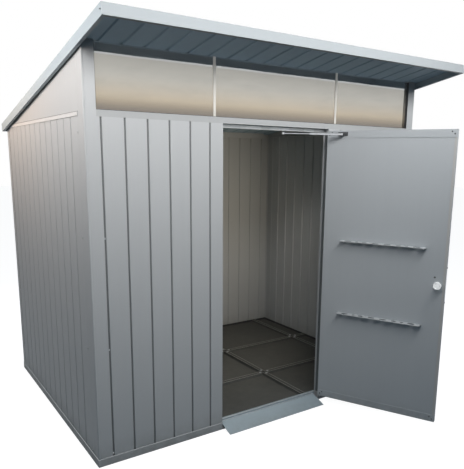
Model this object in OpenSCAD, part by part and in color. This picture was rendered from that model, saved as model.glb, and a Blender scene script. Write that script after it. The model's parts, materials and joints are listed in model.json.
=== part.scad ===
// Metal tool shed with a single-pitch roof, a window strip under the front eave,
// a ramp and one door that stands open on its stay.
// The origin is the middle of the footprint at ground level. +X runs to the right
// along the front, +Y runs to the back and +Z is up. All sizes are millimetres.

/* [Overall size] */
// Width over the outer faces of the side walls
shed_w = 2420; // [2200:10:3000]
// Depth over the outer faces of the front and rear walls
shed_d = 1760; // [1500:10:2400]
// Height of the roof's underside at the front wall
front_h = 2234; // [2120:1:2500]
// How far the roof falls from the front wall to the rear wall
roof_fall = 320; // [150:1:400]

/* [Wall sheets] */
// Thickness of the formed sheet
sheet_t = 2; // [1:0.5:3]
// Distance between wall grooves
groove_pitch = 124; // [90:1:180]
// Width of a groove at the outer face
groove_w = 12; // [9:0.5:18]
// Width of a groove at its bottom
groove_base = 6; // [4:0.5:8]
// Depth of a groove
groove_depth = 8; // [4:0.5:12]
// Width of a corner post on the front and rear, to its edge groove
post_front = 85; // [60:1:110]
// Width of a front corner post on the side, to its edge groove
post_side = 87; // [60:1:110]
// Width of a front corner post beside the windows
post_window = 63; // [50:1:75]
// Smallest width of a rear corner post on the side
post_side_min = 50; // [40:1:60]
// Outer bend radius of the corner posts
post_r = 14; // [6:1:25]
// Distance of the rail that splits a side wall from its gable, below the rear wall's top
side_rail_drop = 23; // [14:1:200]
// Height of that rail's outer strip
side_rail_h = 20; // [12:1:40]
// How far the strip stands proud of the wall
side_rail_proud = 3; // [2:0.5:6]

/* [Base and floor] */
// Height of the base rail's outer lip
base_h = 45; // [30:1:48]
// Thickness of the base rail's webs
base_t = 3; // [2:0.5:5]
// Depth of the base rail, from the wall's outer face inwards
base_depth = 66; // [60:1:90]
// Height of the base rail's lip below the doorway
base_door_h = 14; // [6:1:18]
// Thickness of the floor
floor_t = 28; // [15:1:35]
// Height of the floor's ridges
ridge_h = 18; // [8:1:20]
// Width of a ridge at the floor
ridge_w = 44; // [30:1:70]
// Width of a ridge at its top
ridge_top = 32; // [20:1:45]
// Distance of the first lengthwise ridge from the left wall
ridge_x = 766; // [500:1:900]
// Distance of the last lengthwise ridge from the right wall
ridge_side = 166; // [110:1:400]
// Distance of the first cross ridge from the front wall
ridge_y = 535; // [400:1:700]
// Distance of the last cross ridge from the rear wall
ridge_rear = 660; // [300:1:800]

/* [Window strip] */
// Height of the window strip, from the sill rail's underside to the roof
window_h = 358; // [200:1:450]
// Height of the sill rail
sill_h = 33; // [25:1:60]
// Depth of the rails along the tops of the walls
rail_depth = 45; // [30:1:60]
// Height of the rail over the windows
head_h = 28; // [20:1:60]
// Height of the rail on top of the rear wall
rear_rail_h = 40; // [25:1:60]
// Thickness of a window pane
pane_t = 4; // [3:0.5:6]
// How far the panes sit behind the wall's face
pane_inset = 20; // [4:0.5:30]
// Distance of a mullion from its corner
mullion_x = 750; // [500:1:850]
// Width of a mullion's cover strip
mullion_w = 16; // [10:1:30]
// Thickness of a mullion's cover strip
mullion_t = 3; // [2:0.5:3]

/* [Doorway] */
// Distance of the doorway from the left corner
door_x = 796; // [700:1:900]
// Width of the doorway
door_w = 807; // [700:1:850]
// Depth of the jambs
jamb_depth = 50; // [45:1:60]
// Width of the jamb flanges behind the wall sheet
jamb_flange = 44; // [25:1:60]
// Width of the stop lips that the leaf closes towards
stop_w = 12; // [8:1:25]
// Clearance between the closed leaf and the stops
stop_gap = 6; // [5:0.5:10]
// Depth of the header bar
header_depth = 28; // [20:1:40]
// Height of the header bar
header_h = 18; // [12:1:25]
// Slot between the header bar and the sill rail
header_slot = 4; // [3:0.5:10]
// Height of the threshold
threshold_h = 50; // [48:1:60]
// Depth of the threshold
threshold_depth = 17; // [12:1:25]
// Depth of the ramp in front of the wall
ramp_depth = 90; // [60:1:200]
// Height of the ramp's top
ramp_h = 41; // [38:0.5:43]
// Length of the ramp's level top
ramp_flat = 9; // [4:1:15]
// Thickness of the ramp's plate
ramp_t = 3; // [2:0.5:4]
// Distance of the ramp from the doorway's left edge
ramp_left = 4; // [2:1:40]
// Distance of the ramp from the doorway's right edge
ramp_right = 28; // [2:1:60]

/* [Door leaf] */
// Angle by which the door stands open
door_open = 116; // [90:1:116]
// Clearance between the leaf's edges and the doorway
leaf_gap = 6; // [6:0.5:10]
// Thickness of the leaf without its end rails
leaf_t = 25; // [20:1:30]
// Clearance between the leaf's bottom edge and the base rail
leaf_foot_gap = 5; // [5:0.5:15]
// Clearance between the leaf's top edge and the sill rail
leaf_head_gap = 13; // [11:0.5:21]
// Width of the lips folded onto the inner face
leaf_lip = 20; // [12:1:40]
// Height of the leaf's end rails on the inner face
leaf_rail_h = 45; // [40:1:70]
// Smallest distance of a groove from the leaf's edge
leaf_margin = 50; // [48:1:90]
// Distance of the hinge axis in front of the wall
hinge_out = 8; // [7.5:0.5:10]
// Outer radius of a hinge knuckle
knuckle_r = 6.5; // [5:0.5:7]
// Radius of a hinge pin
hinge_pin_r = 3; // [2:0.5:4]
// Radial clearance of the hinge pins and the spindle
pin_gap = 0.08; // [0.04:0.01:0.1]
// Height of a hinge
hinge_h = 90; // [60:1:150]
// Width of a hinge plate, from the axis
hinge_plate_w = 40; // [25:1:45]
// Thickness of a hinge plate
hinge_plate_t = 3; // [2:0.5:4]
// Distance of the lowest hinge's middle from the leaf's bottom edge
hinge_foot = 170; // [100:1:350]
// Distance of the highest hinge's middle from the leaf's top edge
hinge_head = 183; // [100:1:350]

/* [Door fittings] */
// Height of the upper tool rail
rail_upper_z = 1164; // [1000:1:1400]
// Height of the lower tool rail
rail_lower_z = 677; // [400:1:850]
// Distance of the tool rails from the leaf's hinge edge
rail_start = 122; // [60:1:140]
// Distance of the tool rails from the leaf's free edge
rail_end = 127; // [80:1:160]
// Width of a tool rail's shelf
rail_shelf = 46; // [35:1:60]
// Height of a tool rail's back leg
rail_leg = 18; // [12:1:30]
// Width of the tool slots
slot_w = 16; // [12:1:20]
// Distance of the knob from the leaf's free edge
knob_inset = 43; // [39:1:48]
// Height of the knob
knob_z = 942; // [850:1:1050]
// Radius of the knob
knob_r = 26; // [20:1:30]
// How far the knob stands off the leaf
knob_l = 40; // [32:1:55]
// Radius of the knob's spindle
spindle_r = 6; // [4:0.5:8]

/* [Door stay] */
// Distance of the stay's axis below the header bar
stay_drop = 15; // [14:0.5:20]
// Distance of the stay's door pivot from the leaf's hinge edge
stay_u = 105; // [95:1:130]
// Distance of the stay's door pivot from the leaf's inner face
stay_off = 30; // [25:1:40]
// Distance of the stay's header pivot from the doorway's left edge
stay_anchor = 469; // [430:1:480]
// Radius of the stay's tube
tube_r = 7; // [6:0.5:8.5]
// Length of the stay's tube, from the door pivot
tube_l = 204; // [190:1:210]
// Radius of the stay's rod
rod_r = 3; // [2.5:0.5:5]
// Length of rod that stays in the tube when the door is open
rod_inside = 34; // [20:1:40]
// Sliding clearance of the rod in the tube
rod_gap = 0.3; // [0.2:0.05:0.5]
// Radius of the stay's end eyes
eye_r = 9; // [8:0.5:12]
// Height of the stay's end eyes
eye_h = 12; // [8:0.5:14]
// Radius of the stay's pivot pin
stay_pin_r = 4; // [3:0.5:5]

/* [Roof] */
// Overhang in front of the front wall
roof_front = 370; // [200:1:500]
// Overhang behind the rear wall
roof_rear = 53; // [30:1:150]
// Overhang past the side walls
roof_side = 28; // [12:1:80]
// Height of the roof's ribs
rib_h = 7; // [4:0.5:15]
// Width of a rib at the sheet
rib_w = 26; // [20:1:40]
// Width of a rib at its top
rib_top = 14; // [8:1:18]
// Height of the roof's edge trim
fascia_h = 54; // [35:1:90]
// Width of the lip folded under the edge trim
fascia_lip = 18; // [10:1:22]

/* [Hidden] */
$fn = 48;

// Colours of the finishes
silver = [0.66, 0.68, 0.70];
pale_trim = [0.84, 0.87, 0.89];
dark_floor = [0.27, 0.27, 0.25];
ramp_grey = [0.52, 0.56, 0.60];
zinc = [0.75, 0.76, 0.77];
white = [0.93, 0.94, 0.94];
dark_steel = [0.25, 0.26, 0.27];
glass_tint = [0.45, 0.42, 0.38, 0.5];

// Walls
half_w = shed_w / 2;
half_d = shed_d / 2;
rear_h = front_h - roof_fall;
sill_z = front_h - window_h;
side_rail_z = rear_h - side_rail_drop;
lap_depth = groove_depth + sheet_t;
lap_end = groove_base / 2;
lap_clear = 0.5;
seam = 1;
tongue_l = 22;
front_bays = round((shed_w - 2 * post_front) / groove_pitch);
front_pitch = (shed_w - 2 * post_front) / front_bays;
side_bays = floor((shed_d - post_side - post_side_min) / groove_pitch);
side_last = post_side + side_bays * groove_pitch;
groove_clear = 10;
floor_edge = lap_depth + sheet_t + seam;
wall_edge_margin = groove_w / 2 + jamb_flange + groove_clear;
bend_steps = 8;

// Roof
roof_slope = atan((front_h - rear_h) / shed_d);
seat_gap = 0.2;
edge_gap = 0.1;
eave_front = roof_front / cos(roof_slope);
eave_rear = (shed_d + roof_rear) / cos(roof_slope);
eave_w = shed_w + 2 * roof_side;
fascia_top = rib_h + sheet_t;

// Doorway and leaf, measured from the left front corner of the walls
door_end = door_x + door_w;
leaf_free = door_x + leaf_gap;
leaf_hinge = door_end - leaf_gap;
leaf_w = leaf_hinge - leaf_free;
leaf_full_t = leaf_t + sheet_t;
stop_y = leaf_full_t + stop_gap;
stop_back = stop_y + sheet_t;
hinge_x = door_end - leaf_gap / 2;
leaf_bays = floor((leaf_w - 2 * leaf_margin) / groove_pitch);
leaf_first = leaf_free + (leaf_w - leaf_bays * groove_pitch) / 2;
leaf_grooves = [for (i = [0:leaf_bays]) leaf_first + i * groove_pitch];
header_z = sill_z - header_slot - header_h;
leaf_bottom = base_h + leaf_foot_gap;
leaf_top = sill_z - leaf_head_gap;
hinge_low = leaf_bottom + hinge_foot;
hinge_high = leaf_top - hinge_head;
hinge_mid = (hinge_low + hinge_high) / 2;
spindle_bore = spindle_r + pin_gap;
knob_x = leaf_free + knob_inset;
rail_l = leaf_w - rail_start - rail_end;

// Tool slots on one half of a rail: share of its length from the middle, and length
slot_half = [[0.07, 40], [0.2, 28], [0.29, 16], [0.4, 40]];

// Stay pivots, measured from the left front corner of the walls
stay_y = leaf_full_t + stay_off;
stay_z = header_z - stay_drop;
stay_door_closed = [leaf_hinge - stay_u, stay_y];
stay_header = [door_x + stay_anchor, stop_back + header_depth / 2];
hinge_axis = [hinge_x, -hinge_out];
stay_door = hinge_axis + turned(stay_door_closed - hinge_axis, door_open);
stay_l = norm(stay_header - stay_door);
stay_angle = atan2(stay_header[1] - stay_door[1], stay_header[0] - stay_door[0]);
stay_wall = 10;
stay_rod_l = stay_l - tube_l + rod_inside;
stay_plate = [64, 24];
stay_tab_t = 3;
stay_stud_gap = 0.6;
header_plate = [34, 24, 3];
header_stud_r = 5;

// A point turned about the origin
function turned(p, a) = [p[0] * cos(a) - p[1] * sin(a), p[0] * sin(a) + p[1] * cos(a)];

// The two sides of one formed groove: outer surface, then inner surface from right to left
function groove_front(g, w, b, d) = [[g - w / 2, 0], [g - b / 2, d], [g + b / 2, d], [g + w / 2, 0]];
function groove_back(g, w, b, d) = [
  [g + w / 2 + sheet_t, sheet_t], [g + b / 2 + sheet_t, d + sheet_t],
  [g - b / 2 - sheet_t, d + sheet_t], [g - w / 2 - sheet_t, sheet_t]
];
function flipped(list) = [for (i = [len(list) - 1:-1:0]) list[i]];
function joined(lists) = [for (list = lists) for (p = list) p];
function swapped(points) = [for (p = points) [p[1], p[0]]];

// Outer and inner surface of a row of grooves
function grooves_front(gs, w, b, d) = joined([for (g = gs) groove_front(g, w, b, d)]);
function grooves_back(gs, w, b, d) = joined([for (g = flipped(gs)) groove_back(g, w, b, d)]);

// The half groove at a sheet's edge, which laps onto a corner post at g
function lap_start(g) = [
  [g - lap_end + lap_clear, groove_depth], [g + lap_end, groove_depth], [g + groove_w / 2, 0]
];
function lap_start_back(g) = [
  [g + groove_w / 2 + sheet_t, sheet_t], [g + lap_end + sheet_t, lap_depth],
  [g - lap_end + lap_clear, lap_depth]
];
function mirrored(points, at) = [for (p = flipped(points)) [2 * at - p[0], p[1]]];

// Plan of a sheet that laps onto corner posts at both ends
function full_sheet(g0, g1, gs) = concat(
  lap_start(g0), grooves_front(gs, groove_w, groove_base, groove_depth),
  mirrored(lap_start(g1), g1), mirrored(lap_start_back(g1), g1),
  grooves_back(gs, groove_w, groove_base, groove_depth), lap_start_back(g0)
);

// Plan of a sheet that laps onto a corner post and ends square at s1
function jamb_sheet(g0, s1, gs) = concat(
  lap_start(g0), grooves_front(gs, groove_w, groove_base, groove_depth),
  [[s1, 0], [s1, sheet_t]],
  grooves_back(gs, groove_w, groove_base, groove_depth), lap_start_back(g0)
);

// Plan of a sheet with square ends
function plain_sheet(s0, s1, gs) = concat(
  [[s0, 0]], grooves_front(gs, groove_w, groove_base, groove_depth), [[s1, 0], [s1, sheet_t]],
  grooves_back(gs, groove_w, groove_base, groove_depth), [[s0, sheet_t]]
);

// The grooved leg of a corner post: outer surface from the bend to the lap, and back again
function post_leg(g) = [
  [g - groove_w / 2, 0], [g - lap_end, lap_depth], [g + lap_end, lap_depth],
  [g + lap_end, lap_depth + sheet_t], [g - lap_end - sheet_t, lap_depth + sheet_t],
  [g - groove_w / 2 - sheet_t, sheet_t]
];
// The plain leg of a corner post, which steps behind the side sheet that meets it at g
function post_tongue(g) = [
  [g - seam / 2, 0], [g - seam / 2, sheet_t], [g + tongue_l, sheet_t], [g + tongue_l, 2 * sheet_t],
  [g - seam / 2 - sheet_t, 2 * sheet_t], [g - seam / 2 - sheet_t, sheet_t]
];
function post_bend(r) = [
  for (i = [0:bend_steps]) let (a = 90 * i / bend_steps) [post_r - r * sin(a), post_r - r * cos(a)]
];
function post_plan(gx, gy) = concat(
  post_bend(post_r), swapped(post_tongue(gy)), flipped(post_bend(post_r - sheet_t)), flipped(post_leg(gx))
);

// Grooves on the front grid between two distances from a corner
function front_grooves(to) = [
  for (i = [1:front_bays - 1]) let (g = post_front + i * front_pitch) if (g < to) g
];
function side_grooves() = [for (i = [1:side_bays - 1]) post_side + i * groove_pitch];
function side_sheet(gs) = swapped(plain_sheet(post_side + seam / 2, side_last - seam / 2, gs));
function roof_z(y) = front_h - y * tan(roof_slope);

// Frames that place the pieces
module from_corner() translate([-half_w, -half_d, 0]) children();
module right_side() mirror([1, 0, 0]) children();
module rear_side() mirror([0, 1, 0]) children();
module along_x(x0, x1) translate([x0, 0, 0]) rotate([90, 0, 90]) linear_extrude(x1 - x0) children();
module along_y(y0, y1) translate([0, y1, 0]) rotate([90, 0, 0]) linear_extrude(y1 - y0) children();
module upright(z0, z1) translate([0, 0, z0]) linear_extrude(z1 - z0) children();
module roof_frame() translate([0, -half_d, front_h]) rotate([-roof_slope, 0, 0]) children();
module door_frame() {
  from_corner() translate(hinge_axis) rotate([0, 0, door_open]) translate(-hinge_axis) children();
}
module stay_frame() {
  from_corner() translate([stay_door[0], stay_door[1], stay_z]) rotate([0, 0, stay_angle]) children();
}

// Everything above the roof's underside
module above_roof() {
  roof_frame() translate([-shed_w, -shed_d, -seat_gap]) cube([2 * shed_w, 4 * shed_d, shed_d]);
}

// A flat rectangle from two corners
module between(a, b) translate(a) square(b - a);

// A straight rail with its outer face on the X axis and both ends cut at 45 degrees
module mitred_rail(length, depth, z0, z1) {
  intersection() {
    along_x(-length / 2, length / 2) children();
    upright(z0, z1) polygon([
      [-length / 2, 0], [length / 2, 0], [length / 2 - depth, depth], [depth - length / 2, depth]
    ]);
  }
}

// A closed tube along a wall's top, from its outline and the sheet's thickness
module tube_section(y0, y1, z0, z_at_y0, z_at_y1) {
  difference() {
    polygon([[y0, z0], [y1, z0], [y1, z_at_y1], [y0, z_at_y0]]);
    polygon([
      [y0 + sheet_t, z0 + sheet_t], [y1 - sheet_t, z0 + sheet_t],
      [y1 - sheet_t, z_at_y1 - sheet_t], [y0 + sheet_t, z_at_y0 - sheet_t]
    ]);
  }
}

// Base rails and floor
module base_rail(length) {
  mitred_rail(length, base_depth + base_t, 0, base_h) {
    between([0, 0], [base_t, base_h]);
    between([0, 0], [base_depth + base_t, base_t]);
    between([base_depth, 0], [base_depth + base_t, floor_t - base_t]);
  }
}

module base_rail_front() {
  color(silver) difference() {
    translate([0, -half_d - base_t, 0]) base_rail(shed_w + 2 * base_t);
    from_corner() translate([door_x, -2 * base_t, base_door_h]) cube([door_w, 2 * base_t, base_h]);
  }
}

module base_rail_rear() {
  color(silver) rear_side() translate([0, -half_d - base_t, 0]) base_rail(shed_w + 2 * base_t);
}

module side_base_rail() {
  translate([-half_w - base_t, 0, 0]) rotate([0, 0, -90]) base_rail(shed_d + 2 * base_t);
}

module base_rail_left() {
  color(silver) side_base_rail();
}

module base_rail_right() {
  color(silver) right_side() side_base_rail();
}

module floor_panel() {
  color(dark_floor) from_corner() {
    translate([base_depth, base_depth, 0])
      cube([shed_w - 2 * base_depth, shed_d - 2 * base_depth, floor_t]);
    translate([floor_edge, base_depth, floor_t - base_t])
      cube([shed_w - 2 * floor_edge, shed_d - base_depth - floor_edge, base_t]);
  }
}

module ridge_section(at) {
  polygon([
    [at - ridge_w / 2, floor_t], [at + ridge_w / 2, floor_t],
    [at + ridge_top / 2, floor_t + ridge_h], [at - ridge_top / 2, floor_t + ridge_h]
  ]);
}

ridges_x = [ridge_x, (ridge_x + shed_w - ridge_side) / 2, shed_w - ridge_side];
ridges_y = [ridge_y, shed_d - ridge_rear];

module floor_ridges_long() {
  color(dark_floor) from_corner() for (x = ridges_x)
    along_y(base_depth, shed_d - floor_edge) ridge_section(x);
}

module floor_ridges_cross() {
  starts = concat([floor_edge], [for (x = ridges_x) x + ridge_w / 2]);
  ends = concat([for (x = ridges_x) x - ridge_w / 2], [shed_w - floor_edge]);
  color(dark_floor) from_corner() for (y = ridges_y) for (i = [0:len(starts) - 1])
    along_x(starts[i], ends[i]) ridge_section(y);
}

// Threshold and ramp
module threshold() {
  y0 = stop_back;
  y1 = stop_back + threshold_depth;
  color(zinc) from_corner() along_x(door_x, door_end) difference() {
    between([y0, base_t], [y1, threshold_h]);
    between([y0 + sheet_t, 0], [y1 - sheet_t, threshold_h - sheet_t]);
  }
}

module door_ramp() {
  fold = stop_back - ramp_flat;
  rise = ramp_h / (fold + ramp_depth);
  foot = ramp_t * sqrt(1 + 1 / (rise * rise));
  under = (ramp_h - ramp_t) / rise - ramp_depth + foot;
  color(ramp_grey) from_corner() difference() {
    along_x(door_x + ramp_left, door_end - ramp_right) polygon([
      [-ramp_depth, 0], [fold, ramp_h], [stop_back, ramp_h],
      [stop_back, ramp_h - ramp_t], [under, ramp_h - ramp_t], [foot - ramp_depth, 0]
    ]);
    for (x = [door_x, door_end - stop_w]) translate([x - seam, stop_y - seam, 0])
      cube([stop_w + 2 * seam, ramp_flat, 2 * ramp_h]);
  }
}

// Walls
module front_wall_left() {
  edge = door_x - sheet_t;
  color(silver) from_corner() upright(base_t, sill_z)
    polygon(jamb_sheet(post_front, edge, front_grooves(edge - wall_edge_margin)));
}

module front_wall_right() {
  edge = shed_w - door_end - sheet_t;
  color(silver) right_side() from_corner() upright(base_t, sill_z)
    polygon(jamb_sheet(post_front, edge, front_grooves(edge - wall_edge_margin)));
}

module side_wall() {
  from_corner() upright(base_t, side_rail_z - sheet_t / 2)
    polygon(side_sheet(side_grooves()));
}

module left_wall() {
  color(silver) side_wall();
}

module right_wall() {
  color(silver) right_side() side_wall();
}

module rear_wall() {
  color(silver) rear_side() from_corner() upright(base_t, rear_h - rear_rail_h)
    polygon(full_sheet(post_front, shed_w - post_front, front_grooves(shed_w - post_front - 1)));
}

module gable() {
  difference() {
    from_corner() upright(side_rail_z + sheet_t / 2, front_h)
      polygon(side_sheet([]));
    above_roof();
  }
}

module left_gable() {
  color(silver) gable();
}

module right_gable() {
  color(silver) right_side() gable();
}

module side_wall_rail() {
  inner = tongue_l + seam;
  from_corner() {
    along_y(post_side + seam, side_last - seam)
      between([-side_rail_proud, side_rail_z - side_rail_h / 2], [0, side_rail_z + side_rail_h / 2]);
    along_y(post_side + inner, side_last - inner)
      between([-side_rail_proud, side_rail_z - sheet_t / 2], [lap_depth, side_rail_z + sheet_t / 2]);
  }
}

module left_wall_rail() {
  color(pale_trim) side_wall_rail();
}

module right_wall_rail() {
  color(pale_trim) right_side() side_wall_rail();
}

// Corner posts
module front_post() {
  reveal = pane_inset + pane_t;
  difference() {
    from_corner() {
      difference() {
        upright(base_t, front_h) polygon(post_plan(post_front, post_side));
        translate([post_window, -seam, sill_z]) cube([post_front, post_r, front_h]);
      }
      upright(sill_z, front_h) between([post_window - sheet_t, 0], [post_window, reveal]);
    }
    above_roof();
  }
}

module rear_post() {
  difference() {
    rear_side() from_corner() upright(base_t, front_h)
      polygon(post_plan(post_front, shed_d - side_last));
    above_roof();
  }
}

module corner_post_front_left() {
  color(silver) front_post();
}

module corner_post_front_right() {
  color(silver) right_side() front_post();
}

module corner_post_rear_left() {
  color(silver) rear_post();
}

module corner_post_rear_right() {
  color(silver) right_side() rear_post();
}

// Rails along the wall tops
module rear_top_rail() {
  y0 = shed_d - rail_depth;
  color(silver) from_corner() along_x(post_front + lap_end, shed_w - post_front - lap_end)
    tube_section(y0, shed_d, rear_h - rear_rail_h, roof_z(y0) - seat_gap, roof_z(shed_d) - seat_gap);
}

module window_sill_rail() {
  top = sill_z + sill_h;
  color(pale_trim) from_corner() along_x(post_window, shed_w - post_window)
    tube_section(0, rail_depth, sill_z, top, top);
}

module window_head_rail() {
  y0 = pane_inset + pane_t;
  y1 = y0 + rail_depth;
  color(silver) from_corner() along_x(post_front + lap_end, shed_w - post_front - lap_end)
    tube_section(y0, y1, roof_z(y1) - head_h, roof_z(y0) - seat_gap, roof_z(y1) - seat_gap);
}

// Windows
module pane(x0, x1) {
  color(glass_tint) difference() {
    from_corner() translate([x0, pane_inset, sill_z + sill_h])
      cube([x1 - x0, pane_t, front_h - sill_z - sill_h]);
    above_roof();
  }
}

mullion_web = pane_t;
pane_start = post_window;

module window_pane_left() {
  pane(pane_start, mullion_x - mullion_web / 2);
}

module window_pane_centre() {
  pane(mullion_x + mullion_web / 2, shed_w - mullion_x - mullion_web / 2);
}

module window_pane_right() {
  pane(shed_w - mullion_x + mullion_web / 2, shed_w - pane_start);
}

module mullion(x) {
  difference() {
    from_corner() upright(sill_z + sill_h, front_h) {
      between([x - mullion_w / 2, pane_inset - mullion_t], [x + mullion_w / 2, pane_inset]);
      between([x - mullion_web / 2, pane_inset - mullion_t], [x + mullion_web / 2, pane_inset + pane_t]);
    }
    above_roof();
  }
}

module window_mullions() {
  color(pale_trim) for (x = [mullion_x, shed_w - mullion_x]) mullion(x);
}

// Jambs and header: a flange behind the wall, a web, a stop lip and an inner flange
module jamb_plan() {
  between([-sheet_t, 0], [0, jamb_depth]);
  between([-jamb_flange, sheet_t], [0, 2 * sheet_t]);
  between([-jamb_flange, jamb_depth - sheet_t], [0, jamb_depth]);
  between([-sheet_t, stop_y], [stop_w, stop_back]);
}

module door_jamb_left() {
  color(silver) from_corner() translate([door_x, 0, 0]) upright(base_t, sill_z) jamb_plan();
}

module door_jamb_right() {
  color(silver) from_corner() translate([door_end, 0, 0]) mirror([1, 0, 0])
    upright(base_t, sill_z) jamb_plan();
}

module door_header_bar() {
  y1 = stop_back + header_depth;
  color(pale_trim) from_corner() along_x(door_x, door_end)
    tube_section(stop_back, y1, header_z, header_z + header_h, header_z + header_h);
}

// Roof
module roof_sheet() {
  x0 = -roof_side + sheet_t + edge_gap;
  x1 = shed_w + roof_side - sheet_t - edge_gap;
  ribs = [for (i = [0:front_bays]) post_front + i * front_pitch];
  color(pale_trim) roof_frame() translate([-half_w, 0, 0])
    along_y(sheet_t + edge_gap - eave_front, eave_rear - sheet_t - edge_gap) polygon(concat(
      [[x0, 0]], grooves_front(ribs, rib_w, rib_top, rib_h), [[x1, 0], [x1, sheet_t]],
      grooves_back(ribs, rib_w, rib_top, rib_h), [[x0, sheet_t]]
    ));
}

module fascia(length) {
  low = fascia_top - fascia_h;
  mitred_rail(length, fascia_lip, low, fascia_top) {
    between([0, low], [sheet_t, fascia_top]);
    between([0, low], [fascia_lip, low + sheet_t]);
  }
}

module fascia_front() {
  color(pale_trim) roof_frame() translate([0, -eave_front, 0]) fascia(eave_w);
}

module fascia_rear() {
  color(pale_trim) roof_frame() translate([0, eave_rear, 0]) rear_side() fascia(eave_w);
}

module side_fascia() {
  roof_frame() translate([-eave_w / 2, (eave_rear - eave_front) / 2, 0]) rotate([0, 0, -90])
    fascia(eave_rear + eave_front);
}

module fascia_left() {
  color(pale_trim) side_fascia();
}

module fascia_right() {
  color(pale_trim) right_side() side_fascia();
}

// Door leaf, drawn closed and turned to its open place
module spindle_hole() {
  translate([knob_x, 0, knob_z]) rotate([-90, 0, 0])
    cylinder(r = spindle_bore, h = 4 * leaf_t, center = true);
}

module door_skin() {
  inner = leaf_t - sheet_t;
  color(silver) door_frame() difference() {
    upright(leaf_bottom + sheet_t, leaf_top - sheet_t) polygon(concat(
      [[leaf_free, 0]], grooves_front(leaf_grooves, groove_w, groove_base, groove_depth),
      [
        [leaf_hinge, 0], [leaf_hinge, leaf_t], [leaf_hinge - leaf_lip, leaf_t],
        [leaf_hinge - leaf_lip, inner], [leaf_hinge - sheet_t, inner], [leaf_hinge - sheet_t, sheet_t]
      ],
      grooves_back(leaf_grooves, groove_w, groove_base, groove_depth),
      [
        [leaf_free + sheet_t, sheet_t], [leaf_free + sheet_t, inner], [leaf_free + leaf_lip, inner],
        [leaf_free + leaf_lip, leaf_t], [leaf_free, leaf_t]
      ]
    ));
    spindle_hole();
  }
}

module door_liner() {
  color(silver) door_frame() difference() {
    upright(leaf_bottom + sheet_t, leaf_top - sheet_t)
      between([leaf_free + leaf_lip, leaf_t - sheet_t], [leaf_hinge - leaf_lip, leaf_t]);
    spindle_hole();
  }
}

module door_top_rail() {
  color(silver) door_frame() along_x(leaf_free, leaf_hinge) {
    between([0, leaf_top - sheet_t], [leaf_full_t, leaf_top]);
    between([leaf_t, leaf_top - leaf_rail_h], [leaf_full_t, leaf_top]);
  }
}

module door_bottom_rail() {
  color(silver) door_frame() along_x(leaf_free, leaf_hinge) {
    between([0, leaf_bottom], [leaf_full_t, leaf_bottom + sheet_t]);
    between([leaf_t, leaf_bottom], [leaf_full_t, leaf_bottom + leaf_rail_h]);
  }
}

// Tool rails: an angle with a slotted shelf
module tool_slot(x, y, z, length) {
  reach = (length - slot_w) / 2;
  translate([x, y, z - rail_leg]) linear_extrude(2 * rail_leg) {
    for (side = [-1, 1]) translate([side * reach, 0]) circle(d = slot_w);
    if (reach > 0) square([2 * reach, slot_w], center = true);
  }
}

module tool_rail(z) {
  x1 = leaf_hinge - rail_start;
  x0 = x1 - rail_l;
  front = leaf_t + rail_shelf;
  color(zinc) door_frame() difference() {
    along_x(x0, x1) {
      between([leaf_t, z - rail_leg], [leaf_t + sheet_t, z]);
      between([leaf_t, z - sheet_t], [front, z]);
    }
    for (side = [-1, 1]) for (slot = slot_half)
      tool_slot((x0 + x1) / 2 + side * slot[0] * rail_l, leaf_t + rail_shelf / 2, z, slot[1]);
  }
}

module tool_rail_upper() {
  tool_rail(rail_upper_z);
}

module tool_rail_lower() {
  tool_rail(rail_lower_z);
}

// Knobs on both faces of the leaf, on one spindle
knob_rose_r = 18;
knob_rose_t = 4;
knob_neck_r = 11;
knob_head_t = 18;
knob_dish = 2;
knob_seat = 0.3;
knob_back_w = 8;
knob_edge_w = 2;
knob_edge_t = 4;
knob_round = 3;
knob_rim_w = 4;

module knob_half() {
  neck_top = knob_l - knob_head_t;
  rotate_extrude() {
    between([0, knob_seat], [knob_rose_r, knob_rose_t]);
    between([0, knob_seat], [knob_neck_r, neck_top + 1]);
    polygon([
      [0, neck_top], [knob_r - knob_back_w, neck_top], [knob_r - knob_edge_w, neck_top + knob_edge_t],
      [knob_r, neck_top + 2 * knob_edge_t], [knob_r - knob_edge_w / 2, knob_l - knob_round],
      [knob_r - knob_rim_w, knob_l], [knob_r - 2 * knob_rim_w, knob_l],
      [knob_r - 2 * knob_rim_w - knob_dish, knob_l - knob_dish], [0, knob_l - knob_dish]
    ]);
  }
}

module door_knob() {
  color(white) door_frame() translate([knob_x, 0, knob_z]) {
    translate([0, leaf_t, 0]) rotate([-90, 0, 0]) knob_half();
    rotate([90, 0, 0]) knob_half();
    rotate([-90, 0, 0]) translate([0, 0, -knob_rose_t / 2])
      cylinder(r = spindle_r, h = leaf_t + knob_rose_t);
  }
}

// Hinges: two knuckles and the pin on the frame, one knuckle on the leaf
hinge_heights = [hinge_low, hinge_mid, hinge_high];
knuckle_l = hinge_h / 3;
knuckle_gap = 0.5;
plate_clear = knuckle_r + 1.5;

module hinge_plate(x0, x1, z0, z1) {
  translate([x0, hinge_out - hinge_plate_t, z0]) cube([x1 - x0, hinge_plate_t, z1 - z0]);
}

module frame_hinge() {
  cylinder(r = hinge_pin_r, h = hinge_h - 2, center = true);
  for (side = [0, 1]) mirror([0, 0, side]) {
    translate([0, 0, knuckle_l / 2]) cylinder(r = knuckle_r, h = knuckle_l);
    hinge_plate(0, hinge_plate_w, knuckle_l / 2, hinge_h / 2);
  }
  hinge_plate(plate_clear, hinge_plate_w, -hinge_h / 2, hinge_h / 2);
}

module leaf_hinge_plate() {
  half = knuckle_l / 2 - knuckle_gap;
  difference() {
    union() {
      cylinder(r = knuckle_r, h = 2 * half, center = true);
      hinge_plate(-hinge_plate_w, 0, -half, half);
      hinge_plate(-hinge_plate_w, -plate_clear, -hinge_h / 2, hinge_h / 2);
    }
    cylinder(r = hinge_pin_r + pin_gap, h = hinge_h, center = true);
  }
}

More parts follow.
